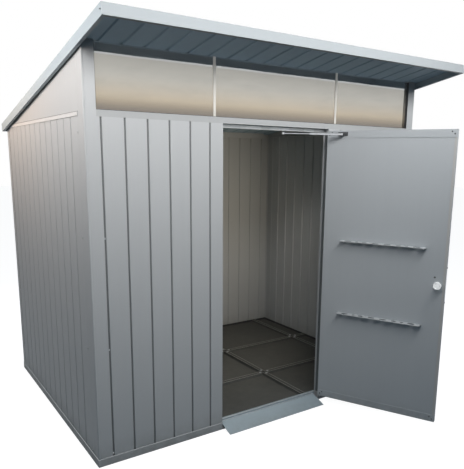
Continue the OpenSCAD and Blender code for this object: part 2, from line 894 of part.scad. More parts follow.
module hinge_frame_leaves() {
  color(zinc) from_corner() for (z = hinge_heights)
    translate([hinge_x, -hinge_out, z]) frame_hinge();
}

module hinge_door_leaves() {
  color(zinc) door_frame() for (z = hinge_heights)
    translate([hinge_x, -hinge_out, z]) leaf_hinge_plate();
}

// Door stay: a tube on the leaf's bracket and a rod that slides in it
module stay_bracket_header() {
  stud_low = stay_z + eye_h / 2 + stay_stud_gap;
  color(dark_steel) from_corner() translate([stay_header[0], stay_header[1], 0]) {
    translate([-header_plate[0] / 2, -header_plate[1] / 2, header_z - header_plate[2]])
      cube(header_plate);
    translate([0, 0, stud_low]) cylinder(r = header_stud_r, h = header_z - stud_low);
  }
}

module stay_bracket_door() {
  tab_z = stay_z - eye_h / 2 - stay_tab_t - stay_stud_gap / 2;
  tab_w = 2 * eye_r;
  pivot = stay_door_closed;
  color(dark_steel) door_frame() {
    translate([pivot[0] - stay_plate[0] / 2, leaf_full_t, tab_z])
      cube([stay_plate[0], stay_tab_t, stay_plate[1]]);
    translate([pivot[0] - tab_w / 2, leaf_full_t, tab_z]) cube([tab_w, stay_off, stay_tab_t]);
    translate([pivot[0], pivot[1], tab_z]) cylinder(r = tab_w / 2, h = stay_tab_t);
    translate([pivot[0], pivot[1], tab_z]) cylinder(r = stay_pin_r, h = stay_tab_t + eye_h);
  }
}

module stay_tube() {
  color(zinc) stay_frame() difference() {
    union() {
      translate([stay_pin_r, 0, 0]) rotate([0, 90, 0]) cylinder(r = tube_r, h = tube_l - stay_pin_r);
      cylinder(r = eye_r, h = eye_h, center = true);
    }
    translate([eye_r + stay_wall, 0, 0]) rotate([0, 90, 0]) cylinder(r = rod_r + rod_gap, h = tube_l);
    cylinder(r = stay_pin_r + pin_gap, h = 4 * eye_h, center = true);
    for (side = [0, 1]) mirror([0, 0, side])
      translate([-eye_r, -2 * eye_r, eye_h / 2]) cube([2 * eye_r + stay_wall / 2, 4 * eye_r, eye_h]);
  }
}

module stay_rod() {
  color(dark_steel) stay_frame() translate([stay_l, 0, 0]) {
    translate([-stay_rod_l, 0, 0]) rotate([0, 90, 0]) cylinder(r = rod_r, h = stay_rod_l);
    cylinder(r = eye_r, h = eye_h, center = true);
  }
}

base_rail_front();
base_rail_rear();
base_rail_left();
base_rail_right();
floor_panel();
floor_ridges_long();
floor_ridges_cross();
threshold();
door_ramp();
front_wall_left();
front_wall_right();
left_wall();
right_wall();
rear_wall();
left_gable();
right_gable();
left_wall_rail();
right_wall_rail();
corner_post_front_left();
corner_post_front_right();
corner_post_rear_left();
corner_post_rear_right();
rear_top_rail();
window_sill_rail();
window_head_rail();
window_pane_left();
window_pane_centre();
window_pane_right();
window_mullions();
door_jamb_left();
door_jamb_right();
door_header_bar();
roof_sheet();
fascia_front();
fascia_rear();
fascia_left();
fascia_right();
door_skin();
door_liner();
door_top_rail();
door_bottom_rail();
tool_rail_upper();
tool_rail_lower();
door_knob();
hinge_frame_leaves();
hinge_door_leaves();
stay_bracket_header();
stay_bracket_door();
stay_tube();
stay_rod();
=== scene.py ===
"""Looks of the metal tool shed: its finishes, fasteners, seals, painted shade strips, light and camera."""

import json
import logging
import math
from abc import ABC, abstractmethod
from dataclasses import dataclass
from enum import Enum, auto

import bpy
import numpy as np
from mathutils import Matrix, Vector


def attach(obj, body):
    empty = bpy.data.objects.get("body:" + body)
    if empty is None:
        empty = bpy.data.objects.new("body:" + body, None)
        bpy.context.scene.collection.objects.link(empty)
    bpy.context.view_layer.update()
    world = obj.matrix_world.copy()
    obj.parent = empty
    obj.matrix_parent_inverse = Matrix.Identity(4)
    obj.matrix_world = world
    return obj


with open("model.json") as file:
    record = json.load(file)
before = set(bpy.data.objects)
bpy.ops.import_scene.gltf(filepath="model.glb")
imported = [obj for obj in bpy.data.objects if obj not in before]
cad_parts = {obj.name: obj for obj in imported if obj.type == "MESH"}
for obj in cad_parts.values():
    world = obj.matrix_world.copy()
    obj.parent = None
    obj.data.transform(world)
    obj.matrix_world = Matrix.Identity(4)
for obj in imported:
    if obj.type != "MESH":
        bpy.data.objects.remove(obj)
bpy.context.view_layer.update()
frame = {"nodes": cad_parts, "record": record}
LOG = logging.getLogger("shed")

Array = np.ndarray
Pair = tuple[float, float]
Triple = tuple[float, float, float]
Values = tuple[float, ...]
Piece = bpy.types.Object
Node = bpy.types.Node
Outputs = bpy.types.NodeOutputs
Socket = bpy.types.NodeSocket
FOLD_ANGLE = math.radians(40.0)
WHITE = (1.0, 1.0, 1.0)


class Body(Enum):
    """Bodies that a new piece can ride on."""

    SHED = "shed"
    DOOR = "door"


class Facing(Enum):
    """Directions in the shed's frame."""

    FRONT = (0.0, -1.0, 0.0)
    REAR = (0.0, 1.0, 0.0)
    LEFT = (-1.0, 0.0, 0.0)
    RIGHT = (1.0, 0.0, 0.0)
    UP = (0.0, 0.0, 1.0)


class Slot(Enum):
    """The record's material slots."""

    WALL = "wall_paint"
    DOOR = "door_paint"
    TRIM = "trim_paint"
    ROOF = "roof_paint"
    FLOOR = "floor_steel"
    RAMP = "ramp_plate"
    WINDOW = "window_acrylic"
    ZINC = "zinc_fittings"
    BRACKET = "bracket_steel"
    KNOB = "knob_plastic"


class Look(Enum):
    """Finishes of single pieces, beside the ones of the slots."""

    FASCIA = auto()
    VERGE = auto()
    WALL_RAIL = auto()
    TOOL_RAIL = auto()
    GLAZING = auto()
    HINGE = auto()
    HEADER = auto()
    WINDOW_HEAD = auto()
    SILL = auto()
    SEAL_AND_SHADE = auto()
    SHADE_GREY = auto()
    LEAF_EDGE = auto()
    HEM = auto()
    LIT_EDGE = auto()


# Mesh building


def new_piece(name: str, points: Array, faces: list[list[int]]) -> Piece:
    """A mesh object at the origin, shaded smooth between its folds.

    Args:
        name: Name of the piece.
        points: Vertex places in metres.
        faces: Corner indices of each face.

    Returns:
        The new object, linked to the scene.
    """
    mesh = bpy.data.meshes.new(name)
    mesh.from_pydata(points.reshape(-1, 3).tolist(), [], faces)
    mesh.polygons.foreach_set("use_smooth", np.ones(len(mesh.polygons), bool))
    mesh.set_sharp_from_angle(angle=FOLD_ANGLE)
    mesh.update()
    piece = bpy.data.objects.new(name, mesh)
    bpy.context.collection.objects.link(piece)
    return piece


def tubes(name: str, grids: Array, looped: bool = False) -> Piece:
    """Closed tubes joined in one mesh.

    Point (k, i, j) is point j of ring i of tube k. Each ring closes on itself. The first and last ring are capped,
    or the last ring joins the first one.

    Args:
        name: Name of the piece.
        grids: Points of all tubes.
        looped: Whether each tube returns to its start.

    Returns:
        The joined piece.
    """
    count, rows, columns, _ = grids.shape
    i, j = np.meshgrid(np.arange(rows if looped else rows - 1), np.arange(columns), indexing="ij")
    here, ahead, beside = i * columns, (i + 1) % rows * columns, (j + 1) % columns
    quads = np.stack([here + j, here + beside, ahead + beside, ahead + j], axis=-1).reshape(-1, 4)
    shift = rows * columns * np.arange(count)[:, None, None]
    faces = (quads[None] + shift).reshape(-1, 4).tolist()
    if not looped:
        ring = np.arange(columns)
        caps = np.stack([ring[::-1], (rows - 1) * columns + ring])
        faces += (caps[None] + shift).reshape(-1, columns).tolist()
    return new_piece(name, grids, faces)


def laid_out(path: Array, across: Array, up: Array, profile: Array) -> Array:
    """An outline at each point of a path: the point, plus the outline along that point's two directions.

    Args:
        path: Points that the outline follows.
        across: First direction of the outline at each point.
        up: Second direction of the outline at each point.
        profile: Closed outline, one row of two for each of its points.

    Returns:
        Grid of points, path by outline.
    """
    return path[..., None, :] + profile[:, :1] * across[..., None, :] + profile[:, 1:] * up[..., None, :]


def strips(name: str, starts: Array, ends: Array, across: Array | Triple, profile: Array) -> Piece:
    """Straight strips joined in one mesh: the outline carried from each start to its end.

    Args:
        name: Name of the piece.
        starts: First point of each strip's middle line.
        ends: Last point of each strip's middle line.
        across: Direction of the outline's width, for all strips or one row for each.
        profile: Closed outline.

    Returns:
        The joined piece.
    """
    across, along = np.broadcast_to(across, starts.shape), ends - starts
    up = np.cross(along / np.linalg.norm(along, axis=1, keepdims=True), across)
    return tubes(name, laid_out(np.stack([starts, ends], axis=1), across[:, None], up[:, None], profile))


def ring_profile(width: float, height: float, count: int = 10) -> Array:
    """An ellipse as a closed outline, of the given full width and height."""
    angle = np.linspace(0.0, math.tau, count, endpoint=False)
    return np.stack([0.5 * width * np.cos(angle), 0.5 * height * np.sin(angle)], axis=-1)


def block_profile(width: float, height: float, chamfer: float = 0.0003) -> Array:
    """A rectangle with cut corners as a closed outline, of the given full width and height."""
    w, h = 0.5 * width, 0.5 * height
    return np.array([[w, chamfer - h], [w, h - chamfer], [w - chamfer, h], [chamfer - w, h],
                     [-w, h - chamfer], [-w, chamfer - h], [chamfer - w, -h], [w - chamfer, -h]])


def as_rows(x: Array, y: Array, z: Array) -> Array:
    """Places, one row each, from coordinates that spread over each other."""
    return np.stack([grid.ravel() for grid in np.broadcast_arrays(x, y, z)], axis=-1)


def crossed(x: Array, y: Array) -> list[Array]:
    """All pairs of two lists of values, as two flat lists."""
    return [grid.ravel() for grid in np.meshgrid(x, y)]


# Shader building


def rgba(colour: Triple) -> tuple[float, float, float, float]:
    """A colour with full opacity."""
    return (*colour, 1.0)


@dataclass(frozen=True)
class Noise:
    """A cloud of values about 0.5: its scale for each metre, octaves, their strength, and its stretch."""

    scale: float
    detail: float
    roughness: float
    stretch: Triple | None = None


class GroupName(Enum):
    """Shared effects, each one node group."""

    SHEET = "formed_sheet"
    DUST_AND_SHADE = "ground_dust_and_shade"
    BRUSHED = "brushed_grain"
    GROOVE = "groove_shade"


class Graph:
    """A node tree with short ways to add and join nodes."""

    MIX_INPUTS = (0, 6, 7)
    MIX_OUTPUT = 2

    def __init__(self, tree: bpy.types.NodeTree) -> None:
        """Keeps the tree that nodes are added to."""
        self.tree = tree

    def node(self, kind: str, **settings: object) -> Node:
        """Adds a node and sets its own properties.

        Args:
            kind: Node type without the ShaderNode prefix.
            settings: Node properties.

        Returns:
            The node.
        """
        made = self.tree.nodes.new(kind if kind.startswith("NodeGroup") else "ShaderNode" + kind)
        for key, value in settings.items():
            setattr(made, key, value)
        return made

    def join(self, socket: Socket, value: object) -> None:
        """Links a socket, or sets its value."""
        if isinstance(value, Socket):
            self.tree.links.new(value, socket)
        else:
            socket.default_value = value

    def feed(self, node: Node, **inputs: object) -> Outputs:
        """Sets or links a node's inputs, with underscores for spaces in their names.

        Args:
            node: The node.
            inputs: Values, or output sockets to link from.

        Returns:
            The node's outputs.
        """
        for key, value in inputs.items():
            self.join(node.inputs[key.replace("_", " ")], value)
        return node.outputs

    def fill(self, node: Node, places: tuple[int, ...], values: tuple[object, ...]) -> Outputs:
        """Sets or links a node's inputs by their places.

        Args:
            node: The node.
            places: Places of the inputs.
            values: Values, or output sockets to link from.

        Returns:
            The node's outputs.
        """
        for place, value in zip(places, values):
            self.join(node.inputs[place], value)
        return node.outputs

    def group(self, name: GroupName, **inputs: object) -> Outputs:
        """Adds a shared effect and joins its inputs."""
        return self.feed(self.node("Group", node_tree=bpy.data.node_groups[name.value]), **inputs)

    def principled(self, **inputs: object) -> None:
        """Joins the inputs of a material's own shader."""
        self.feed(self.tree.nodes["Principled BSDF"], **inputs)

    def math(self, operation: str, a: object, b: object = 0.0, clamp: bool = False) -> Socket:
        """One operation on two values.

        Args:
            operation: Blender's name of the operation.
            a: First value or socket.
            b: Second value or socket.
            clamp: Whether the result is kept between 0 and 1.

        Returns:
            The result's socket.
        """
        return self.fill(self.node("Math", operation=operation, use_clamp=clamp), (0, 1), (a, b))[0]

    def add(self, a: object, b: object, clamp: bool = False) -> Socket:
        """Two values added."""
        return self.math("ADD", a, b, clamp)

    def times(self, a: object, b: object, clamp: bool = False) -> Socket:
        """Two values multiplied."""
        return self.math("MULTIPLY", a, b, clamp)

    def less(self, a: object, b: object, clamp: bool = False) -> Socket:
        """The second value taken from the first one."""
        return self.math("SUBTRACT", a, b, clamp)

    def swing(self, cloud: Socket, amount: object) -> Socket:
        """A cloud's swing about zero."""
        return self.times(self.less(cloud, 0.5), amount)

    def mix(self, factor: object, a: object, b: object, blend: str = "MIX") -> Socket:
        """A blend of two colours.

        Args:
            factor: Share of the second colour.
            a: First colour or socket.
            b: Second colour or socket.
            blend: How they blend.

        Returns:
            The blended colour's socket.
        """
        made = self.node("Mix", data_type="RGBA", blend_type=blend)
        return self.fill(made, self.MIX_INPUTS, (factor, a, b))[self.MIX_OUTPUT]

    def dimmed(self, colour: Socket, shade: Socket) -> Socket:
        """A colour times a grey shade."""
        grey = self.feed(self.node("CombineColor"), Red=shade, Green=shade, Blue=shade)
        return self.mix(1.0, colour, grey[0], "MULTIPLY")

    def span(self, value: Socket, low: float, high: float, to_low: float, to_high: float) -> Socket:
        """A value carried from one range to another, smoothly and without overshoot.

        Args:
            value: The value's socket.
            low: Start of its range.
            high: End of its range.
            to_low: Start of the new range.
            to_high: End of the new range.

        Returns:
            The new value's socket.
        """
        made = self.node("MapRange", interpolation_type="SMOOTHSTEP")
        return self.feed(made, Value=value, From_Min=low, From_Max=high, To_Min=to_low, To_Max=to_high)["Result"]

    def place(self) -> Socket:
        """Coordinates of the object."""
        return self.node("TexCoord").outputs["Object"]

    def axes(self, vector: Socket) -> Outputs:
        """The three parts of a vector."""
        return self.feed(self.node("SeparateXYZ"), Vector=vector)

    def noise(self, place: Socket, kind: Noise) -> Socket:
        """A cloud of values about 0.5.

        Args:
            place: Coordinates.
            kind: The cloud's scale, octaves and stretch.

        Returns:
            The value's socket.
        """
        if kind.stretch:
            place = self.feed(self.node("Mapping"), Vector=place, Scale=kind.stretch)["Vector"]
        made = self.node("TexNoise")
        return self.feed(made, Vector=place, Scale=kind.scale, Detail=kind.detail, Roughness=kind.roughness)["Fac"]

    def bump(self, height: Socket, strength: float, distance: float) -> Socket:
        """The normal of an uneven face."""
        return self.feed(self.node("Bump"), Strength=strength, Distance=distance, Height=height)["Normal"]


class SharedEffects:
    """The effects that several finishes share, each one node group."""

    COLOURS = ("Colour", "Dust", "Dirt")
    CLOUD = Noise(1.7, 4.0, 0.6)
    CLOUD_ROUGHENS = 0.35
    STREAK = Noise(1.0, 4.0, 0.65, (26.0, 26.0, 0.9))
    SPECK = Noise(420.0, 2.0, 0.6)
    SPECK_SWING = 0.07
    BUCKLE = Noise(1.0, 1.0, 0.3, (2.6, 2.6, 0.8))
    PEEL = Noise(900.0, 1.0, 0.5)
    PEEL_HEIGHT = 0.004
    DUST_AND_SHADE_FALL = 1.6
    SPLASH = Noise(14.0, 5.0, 0.7)
    SPLASH_SPAN = (0.32, 0.68, 0.35, 1.0)
    DRAWN = Noise(1.0, 2.0, 0.6, (60.0, 60.0, 900.0))
    DRAWN_SWING = 0.14
    DRAWN_ROUGHENS = 0.16
    PATCH_SWING = 0.16
    DARKEST_PATCH = 0.83
    # Where the painted groove shade falls: depth behind the wall plane, clear of the room side, on faces that look
    # outwards.
    GROOVE_SPAN = (0.003, 0.0075, 0.0, 1.0)
    ROOM_SPAN = (0.011, 0.014, 1.0, 0.0)
    OUTWARD_SPAN = (0.02, 0.2, 0.0, 1.0)

    def build(self) -> None:
        """Makes the groups."""
        self.formed_sheet()
        self.ground_dust_and_shade()
        self.brushed_grain()
        self.groove_shade()

    def start(self, name: GroupName, inputs: str, outputs: str) -> tuple[Graph, Outputs, Node]:
        """An empty group with its named sockets.

        Args:
            name: The group.
            inputs: Names of its inputs.
            outputs: Names of its outputs.

        Returns:
            The group's graph, its given sockets and its output node.
        """
        tree = bpy.data.node_groups.new(name.value, "ShaderNodeTree")
        for in_out, names in (("INPUT", inputs), ("OUTPUT", outputs)):
            for label in names.split():
                kind = "NodeSocketColor" if label in self.COLOURS else "NodeSocketFloat"
                tree.interface.new_socket(name=label, in_out=in_out, socket_type=kind)
        graph = Graph(tree)
        return graph, graph.node("NodeGroupInput").outputs, graph.node("NodeGroupOutput")

    def formed_sheet(self) -> None:
        """Painted sheet: cloudy shade, faint upright streaks, fine orange peel and a slow buckle."""
        graph, given, out = self.start(GroupName.SHEET, "Colour Cloud Streak Roughness Buckle",
                                       "Colour Roughness Height")
        place = graph.place()
        cloud = graph.swing(graph.noise(place, self.CLOUD), given["Cloud"])
        streak = graph.swing(graph.noise(place, self.STREAK), given["Streak"])
        speck = graph.swing(graph.noise(place, self.SPECK), self.SPECK_SWING)
        shade = graph.add(graph.add(graph.add(cloud, streak), speck), 1.0)
        height = graph.add(graph.times(graph.noise(place, self.BUCKLE), given["Buckle"]),
                           graph.times(graph.noise(place, self.PEEL), self.PEEL_HEIGHT))
        rough = graph.add(given["Roughness"], graph.times(cloud, self.CLOUD_ROUGHENS), True)
        graph.feed(out, Colour=graph.dimmed(given["Colour"], shade), Roughness=rough, Height=height)

    def ground_dust_and_shade(self) -> None:
        """Splashed dust and painted shade that thin out with height above the ground."""
        graph, given, out = self.start(GroupName.DUST_AND_SHADE, "Colour Dust Reach Amount", "Colour Mask")
        place = graph.place()
        rise = graph.math("DIVIDE", graph.axes(place)["Z"], given["Reach"])
        low = graph.math("POWER", graph.less(1.0, rise, True), self.DUST_AND_SHADE_FALL)
        splash = graph.span(graph.noise(place, self.SPLASH), *self.SPLASH_SPAN)
        mask = graph.times(graph.times(low, splash), given["Amount"], True)
        graph.feed(out, Colour=graph.mix(mask, given["Colour"], given["Dust"]), Mask=mask)

    def brushed_grain(self) -> None:
        """Plated metal: crystal patches under fine drawn lines."""
        graph, given, out = self.start(GroupName.BRUSHED, "Colour Roughness Patch", "Colour Roughness Height")
        place = graph.place()
        cells = graph.feed(graph.node("TexVoronoi", feature="F1"), Vector=place, Scale=given["Patch"])
        patch = graph.feed(graph.node("SeparateColor"), Color=cells["Color"])[0]
        lines = graph.noise(place, self.DRAWN)
        shade = graph.add(graph.times(patch, self.PATCH_SWING), graph.times(lines, self.DRAWN_SWING))
        colour = graph.dimmed(given["Colour"], graph.add(shade, self.DARKEST_PATCH))
        rough = graph.add(given["Roughness"], graph.times(lines, self.DRAWN_ROUGHENS), True)
        graph.feed(out, Colour=colour, Roughness=rough, Height=lines)

    def groove_shade(self) -> None:
        """Painted shade in the grooves of the walls' outer faces.

        The depth is the distance behind the nearest wall plane, and only faces that look outwards take the painted
        shade.
        """
        graph, given, out = self.start(GroupName.GROOVE, "Colour Dirt Amount", "Colour Mask")
        place = graph.axes(graph.place())
        normal = graph.axes(graph.node("NewGeometry").outputs["True Normal"])
        from_side = graph.less(SIZES.half_w, graph.math("ABSOLUTE", place["X"]))
        from_end = graph.less(SIZES.half_d, graph.math("ABSOLUTE", place["Y"]))
        depth = graph.math("MINIMUM", from_side, from_end)
        inside = graph.times(graph.span(depth, *self.GROOVE_SPAN), graph.span(depth, *self.ROOM_SPAN))
        on_side = graph.math("LESS_THAN", from_side, from_end)
        sideways, endways = (graph.times(normal[axis], graph.math("SIGN", place[axis])) for axis in "XY")
        outward = graph.add(graph.times(on_side, sideways), graph.times(graph.less(1.0, on_side), endways))
        mask = graph.times(inside, graph.span(outward, *self.OUTWARD_SPAN))
        mask = graph.times(mask, given["Amount"], True)
        graph.feed(out, Colour=graph.mix(mask, given["Colour"], given["Dirt"]), Mask=mask)


# Finishes


@dataclass(frozen=True)
class Finish(ABC):
    """A finish that makes its own material."""

    name: str
    colour: Triple

    def material(self) -> bpy.types.Material:
        """Makes the material: a Principled shader, wired by the kind of finish.

        Returns:
            The finished material.
        """
        made = bpy.data.materials.new(self.name)
        made.use_nodes = True
        self.wire(Graph(made.node_tree))
        return made

    @abstractmethod
    def wire(self, graph: Graph) -> None:
        """Joins the inputs of the material's shader."""


@dataclass(frozen=True)
class PaintFinish(Finish):
    """Satin paint on formed sheet, with dust and painted shade near the ground, and painted shade in the grooves."""

    roughness: float = 0.48
    gloss: float = 0.05
    cloud: float = 0.05
    streak: float = 0.04
    buckle: float = 0.5
    # Dust near the ground. On walls, door and ramp it is darker than the paint and is partly painted shade.
    dust: Triple = (0.20, 0.19, 0.17)
    dust_and_shade_reach: float = 0.16
    dust_and_shade_amount: float = 0.0
    dust_roughens: float = 0.3
    dirt: Triple = (0.035, 0.037, 0.04)
    groove_shade_amount: float = 0.0
    bump: Pair = (0.12, 0.02)

    def wire(self, graph: Graph) -> None:
        """Lays dust with painted shade near the ground, and painted shade in the grooves, over the painted sheet.

        Args:
            graph: The material's graph.
        """
        sheet = graph.group(GroupName.SHEET, Colour=rgba(self.colour), Cloud=self.cloud, Streak=self.streak,
                            Roughness=self.roughness, Buckle=self.buckle)
        # Dust with painted shade, darker towards the ground.
        dust_and_shade = graph.group(GroupName.DUST_AND_SHADE, Colour=sheet["Colour"], Dust=rgba(self.dust),
                            Reach=self.dust_and_shade_reach, Amount=self.dust_and_shade_amount)
        top = dust_and_shade
        # Painted shade: a near-black colour laid into the walls' grooves.
        if self.groove_shade_amount > 0.0:
            top = graph.group(GroupName.GROOVE, Colour=dust_and_shade["Colour"], Dirt=rgba(self.dirt),
                              Amount=self.groove_shade_amount)
        rough = graph.add(sheet["Roughness"], graph.times(dust_and_shade["Mask"], self.dust_roughens), True)
        graph.principled(Base_Color=top["Colour"], Roughness=rough, Specular_IOR_Level=self.gloss,
                         Normal=graph.bump(sheet["Height"], *self.bump))


@dataclass(frozen=True)
class PlatedFinish(Finish):
    """Zinc plated or dark steel fittings."""

    roughness: float = 0.3
    metallic: float = 0.85
    patch: float = 90.0
    bump: Pair = (0.08, 0.001)

    def wire(self, graph: Graph) -> None:
        """Gives the metal its grain.

        Args:
            graph: The material's graph.
        """
        grain = graph.group(GroupName.BRUSHED, Colour=rgba(self.colour), Roughness=self.roughness, Patch=self.patch)
        graph.principled(Base_Color=grain["Colour"], Roughness=grain["Roughness"], Metallic=self.metallic,
                         Normal=graph.bump(grain["Height"], *self.bump))


@dataclass(frozen=True)
class TintAndReflectionSheetFinish(Finish):
    """Tinted acrylic with a mirror-like face, and painted reflections: warm and then dark downwards, and cool along
    its top.
    """

    warm_reflection: Triple = (0.66, 0.54, 0.38)
    warm_reflection_span: Values = (1.91, 2.11, 1.0, 0.0)
    dark_reflection: Triple = (0.20, 0.185, 0.175)
    dark_reflection_span: Values = (1.91, 1.99, 0.8, 0.0)
    cool_reflection: Triple = (0.93, 0.97, 1.0)
    cool_reflection_span: Values = (2.168, 2.19, 0.0, 1.0)
    wipe: Triple = (0.30, 0.29, 0.27)
    wipe_span: Values = (0.35, 0.75, 0.0, 0.10)
    wipe_noise: Noise = Noise(1.0, 4.0, 0.6, (5.0, 5.0, 22.0))
    wipe_roughens: float = 0.04
    film: Noise = Noise(1.0, 3.0, 0.55, (1.2, 1.2, 3.0))
    haze: float = 0.01
    transmission: float = 0.55
    metallic: float = 0.42
    ior: float = 1.8
    bump: Pair = (0.04, 0.02)

    def wire(self, graph: Graph) -> None:
        """Paints reflections that change with height over the tint, and wipes it unevenly.

        Args:
            graph: The material's graph.
        """
        place = graph.place()
        height, wiped, tint = graph.axes(place)["Z"], graph.noise(place, self.wipe_noise), rgba(self.colour)
        # Painted reflections by height, then uneven wipe marks.
        for value, span, colour in ((height, self.warm_reflection_span, self.warm_reflection), (height, self.dark_reflection_span, self.dark_reflection),
                                    (height, self.cool_reflection_span, self.cool_reflection), (wiped, self.wipe_span, self.wipe)):
            tint = graph.mix(graph.span(value, *span), tint, rgba(colour))
        rough = graph.add(graph.times(wiped, self.wipe_roughens), self.haze)
        graph.principled(Base_Color=tint, Roughness=rough, Metallic=self.metallic,
                         Transmission_Weight=self.transmission, IOR=self.ior,
                         Normal=graph.bump(graph.noise(place, self.film), *self.bump))


@dataclass(frozen=True)
class MouldedFinish(Finish):
    """Moulded plastic or rubber, with a fine skin."""

    roughness: float = 0.3
    metallic: float = 0.0
    skin: Noise = Noise(700.0, 2.0, 0.6)
    smear: Noise = Noise(40.0, 4.0, 0.6)
    smear_span: Values = (0.45, 0.75, 0.0, 0.5)
    smear_dims: float = 0.8
    smear_roughens: float = 0.2
    bump: Pair = (0.1, 0.0008)

    def wire(self, graph: Graph) -> None:
        """Gives the plastic its skin and its dull smears.

        Args:
            graph: The material's graph.
        """
        place = graph.place()
        smear = graph.noise(place, self.smear)
        dull = tuple(self.smear_dims * part for part in self.colour)
        colour = graph.mix(graph.span(smear, *self.smear_span), rgba(self.colour), rgba(dull))
        mildest = self.roughness - 0.5 * self.smear_roughens
        rough = graph.add(graph.times(smear, self.smear_roughens), mildest, True)
        graph.principled(Base_Color=colour, Roughness=rough, Metallic=self.metallic,
                         Normal=graph.bump(graph.noise(place, self.skin), *self.bump))


class Finishes:
    """Every material of the shed, by the record's slot or by its own look."""

    KINDS: dict[Slot | Look, Finish] = {
        # Walls and door: dust and painted shade near the ground. The walls also get painted shade in the grooves.
        Slot.WALL: PaintFinish("silver_wall_paint", (0.50, 0.512, 0.52), dust_and_shade_amount=0.55, groove_shade_amount=0.55),
        Slot.DOOR: PaintFinish("silver_door_paint", (0.475, 0.50, 0.52), cloud=0.03, dust_and_shade_amount=0.55),
        Slot.TRIM: PaintFinish("pale_trim_paint", (0.47, 0.49, 0.50)),
        Slot.ROOF: PaintFinish("roof_paint", (0.40, 0.52, 0.61), streak=0.08),
        # The floor's near-black colour is partly painted shade of the dark interior.
        Slot.FLOOR: PaintFinish("dark_floor_steel", (0.09, 0.093, 0.09), roughness=0.5, cloud=0.5, streak=0.1,
                                dust=(0.172, 0.166, 0.152), dust_and_shade_reach=0.1, dust_and_shade_amount=0.5),
        Slot.RAMP: PaintFinish("ramp_plate", (0.41, 0.485, 0.53), roughness=0.36, cloud=0.12, dust_and_shade_reach=0.05,
                               dust_and_shade_amount=0.35),
        Slot.WINDOW: TintAndReflectionSheetFinish("tinted_window_with_reflections", (0.68, 0.66, 0.60)),
        Slot.ZINC: PlatedFinish("zinc_plate", (0.62, 0.64, 0.66)),
        Slot.BRACKET: PlatedFinish("dark_bracket_steel", (0.10, 0.105, 0.11), roughness=0.4, metallic=0.5),
        Slot.KNOB: MouldedFinish("white_knob_plastic", (0.86, 0.885, 0.89), roughness=0.25, metallic=0.55),
        # Painted shade and painted light: copies of the trim paint, darker for the front fascia and the verges,
        # lighter for the wall rails.
        Look.FASCIA: PaintFinish("shaded_fascia_paint", (0.315, 0.34, 0.355), gloss=0.2),
        Look.VERGE: PaintFinish("shaded_verge_paint", (0.395, 0.46, 0.50), gloss=0.2),
        Look.WALL_RAIL: PaintFinish("lit_rail_paint", (0.64, 0.64, 0.64)),
        Look.TOOL_RAIL: PaintFinish("tool_rail_paint", (0.47, 0.488, 0.50)),
        Look.WINDOW_HEAD: PaintFinish("window_head_paint", (0.42, 0.56, 0.68)),
        # Painted shade: the sill is a darker copy of the trim paint.
        Look.SILL: PaintFinish("shaded_sill_paint", (0.425, 0.435, 0.44)),
        Look.LEAF_EDGE: PaintFinish("leaf_edge_paint", (0.50, 0.50, 0.49)),
        Look.GLAZING: PlatedFinish("bright_glazing_bar", (0.74, 0.715, 0.665), roughness=0.4, metallic=0.5,
                                   patch=12.0),
        # Painted highlight: the header bar sits in the sill rail's shade and is made bright and plated.
        Look.HEADER: PlatedFinish("lit_header_plate", (0.72, 0.74, 0.745), roughness=0.5, metallic=0.6, patch=12.0),
        Look.HINGE: PlatedFinish("hinge_steel", (0.34, 0.355, 0.365), roughness=0.45, metallic=0.6),
        # Painted highlight: the base hem's bright plated finish.
        Look.HEM: PlatedFinish("hem_highlight", (0.36, 0.38, 0.39), roughness=0.4),
        # Painted highlight: lighter rolled edges on the floor's ridges.
        Look.LIT_EDGE: PlatedFinish("lit_floor_edge", (0.30, 0.30, 0.28), roughness=0.45, metallic=0.3),
        # Dark seals and caps, plus painted shade: the same dark colour in the gable lines, window reveals and floor
        # corners.
        Look.SEAL_AND_SHADE: MouldedFinish("dark_seal_and_shade", (0.05, 0.05, 0.052), roughness=0.6),
        # Painted shade: dark grey strips on the jamb's web and round the tool rail slots.
        Look.SHADE_GREY: MouldedFinish("painted_shade_grey", (0.13, 0.145, 0.15), roughness=0.5),
    }
    BY_NODE: dict[str, Slot | Look] = {
        "fascia_front": Look.FASCIA, "fascia_rear": Look.FASCIA,
        "fascia_left": Look.VERGE, "fascia_right": Look.VERGE,
        "left_wall_rail": Look.WALL_RAIL, "right_wall_rail": Look.WALL_RAIL,
        "tool_rail_upper": Look.TOOL_RAIL, "tool_rail_lower": Look.TOOL_RAIL,
        "hinge_frame_leaves": Look.HINGE, "hinge_door_leaves": Look.HINGE,
        "window_head_rail": Look.WINDOW_HEAD, "window_sill_rail": Look.SILL, "window_mullions": Look.GLAZING,
        "door_header_bar": Look.HEADER, "stay_rod": Slot.ZINC,
    }

    def __init__(self) -> None:
        """Builds the shared effects and the materials."""
        SharedEffects().build()
        self.made = {key: kind.material() for key, kind in self.KINDS.items()}

    def dress_nodes(self) -> None:
        """Gives each modelled node its own finish, or else the one of its slot."""
        for part in frame["record"]["subparts"]:
            worn = frame["nodes"][part["node"]].data.materials
            worn.clear()
            worn.append(self.made[self.BY_NODE.get(part["node"], Slot(part["material_slot"]))])
            LOG.info("%s: %s", part["node"], part["material_slot"])


# Sub-assemblies


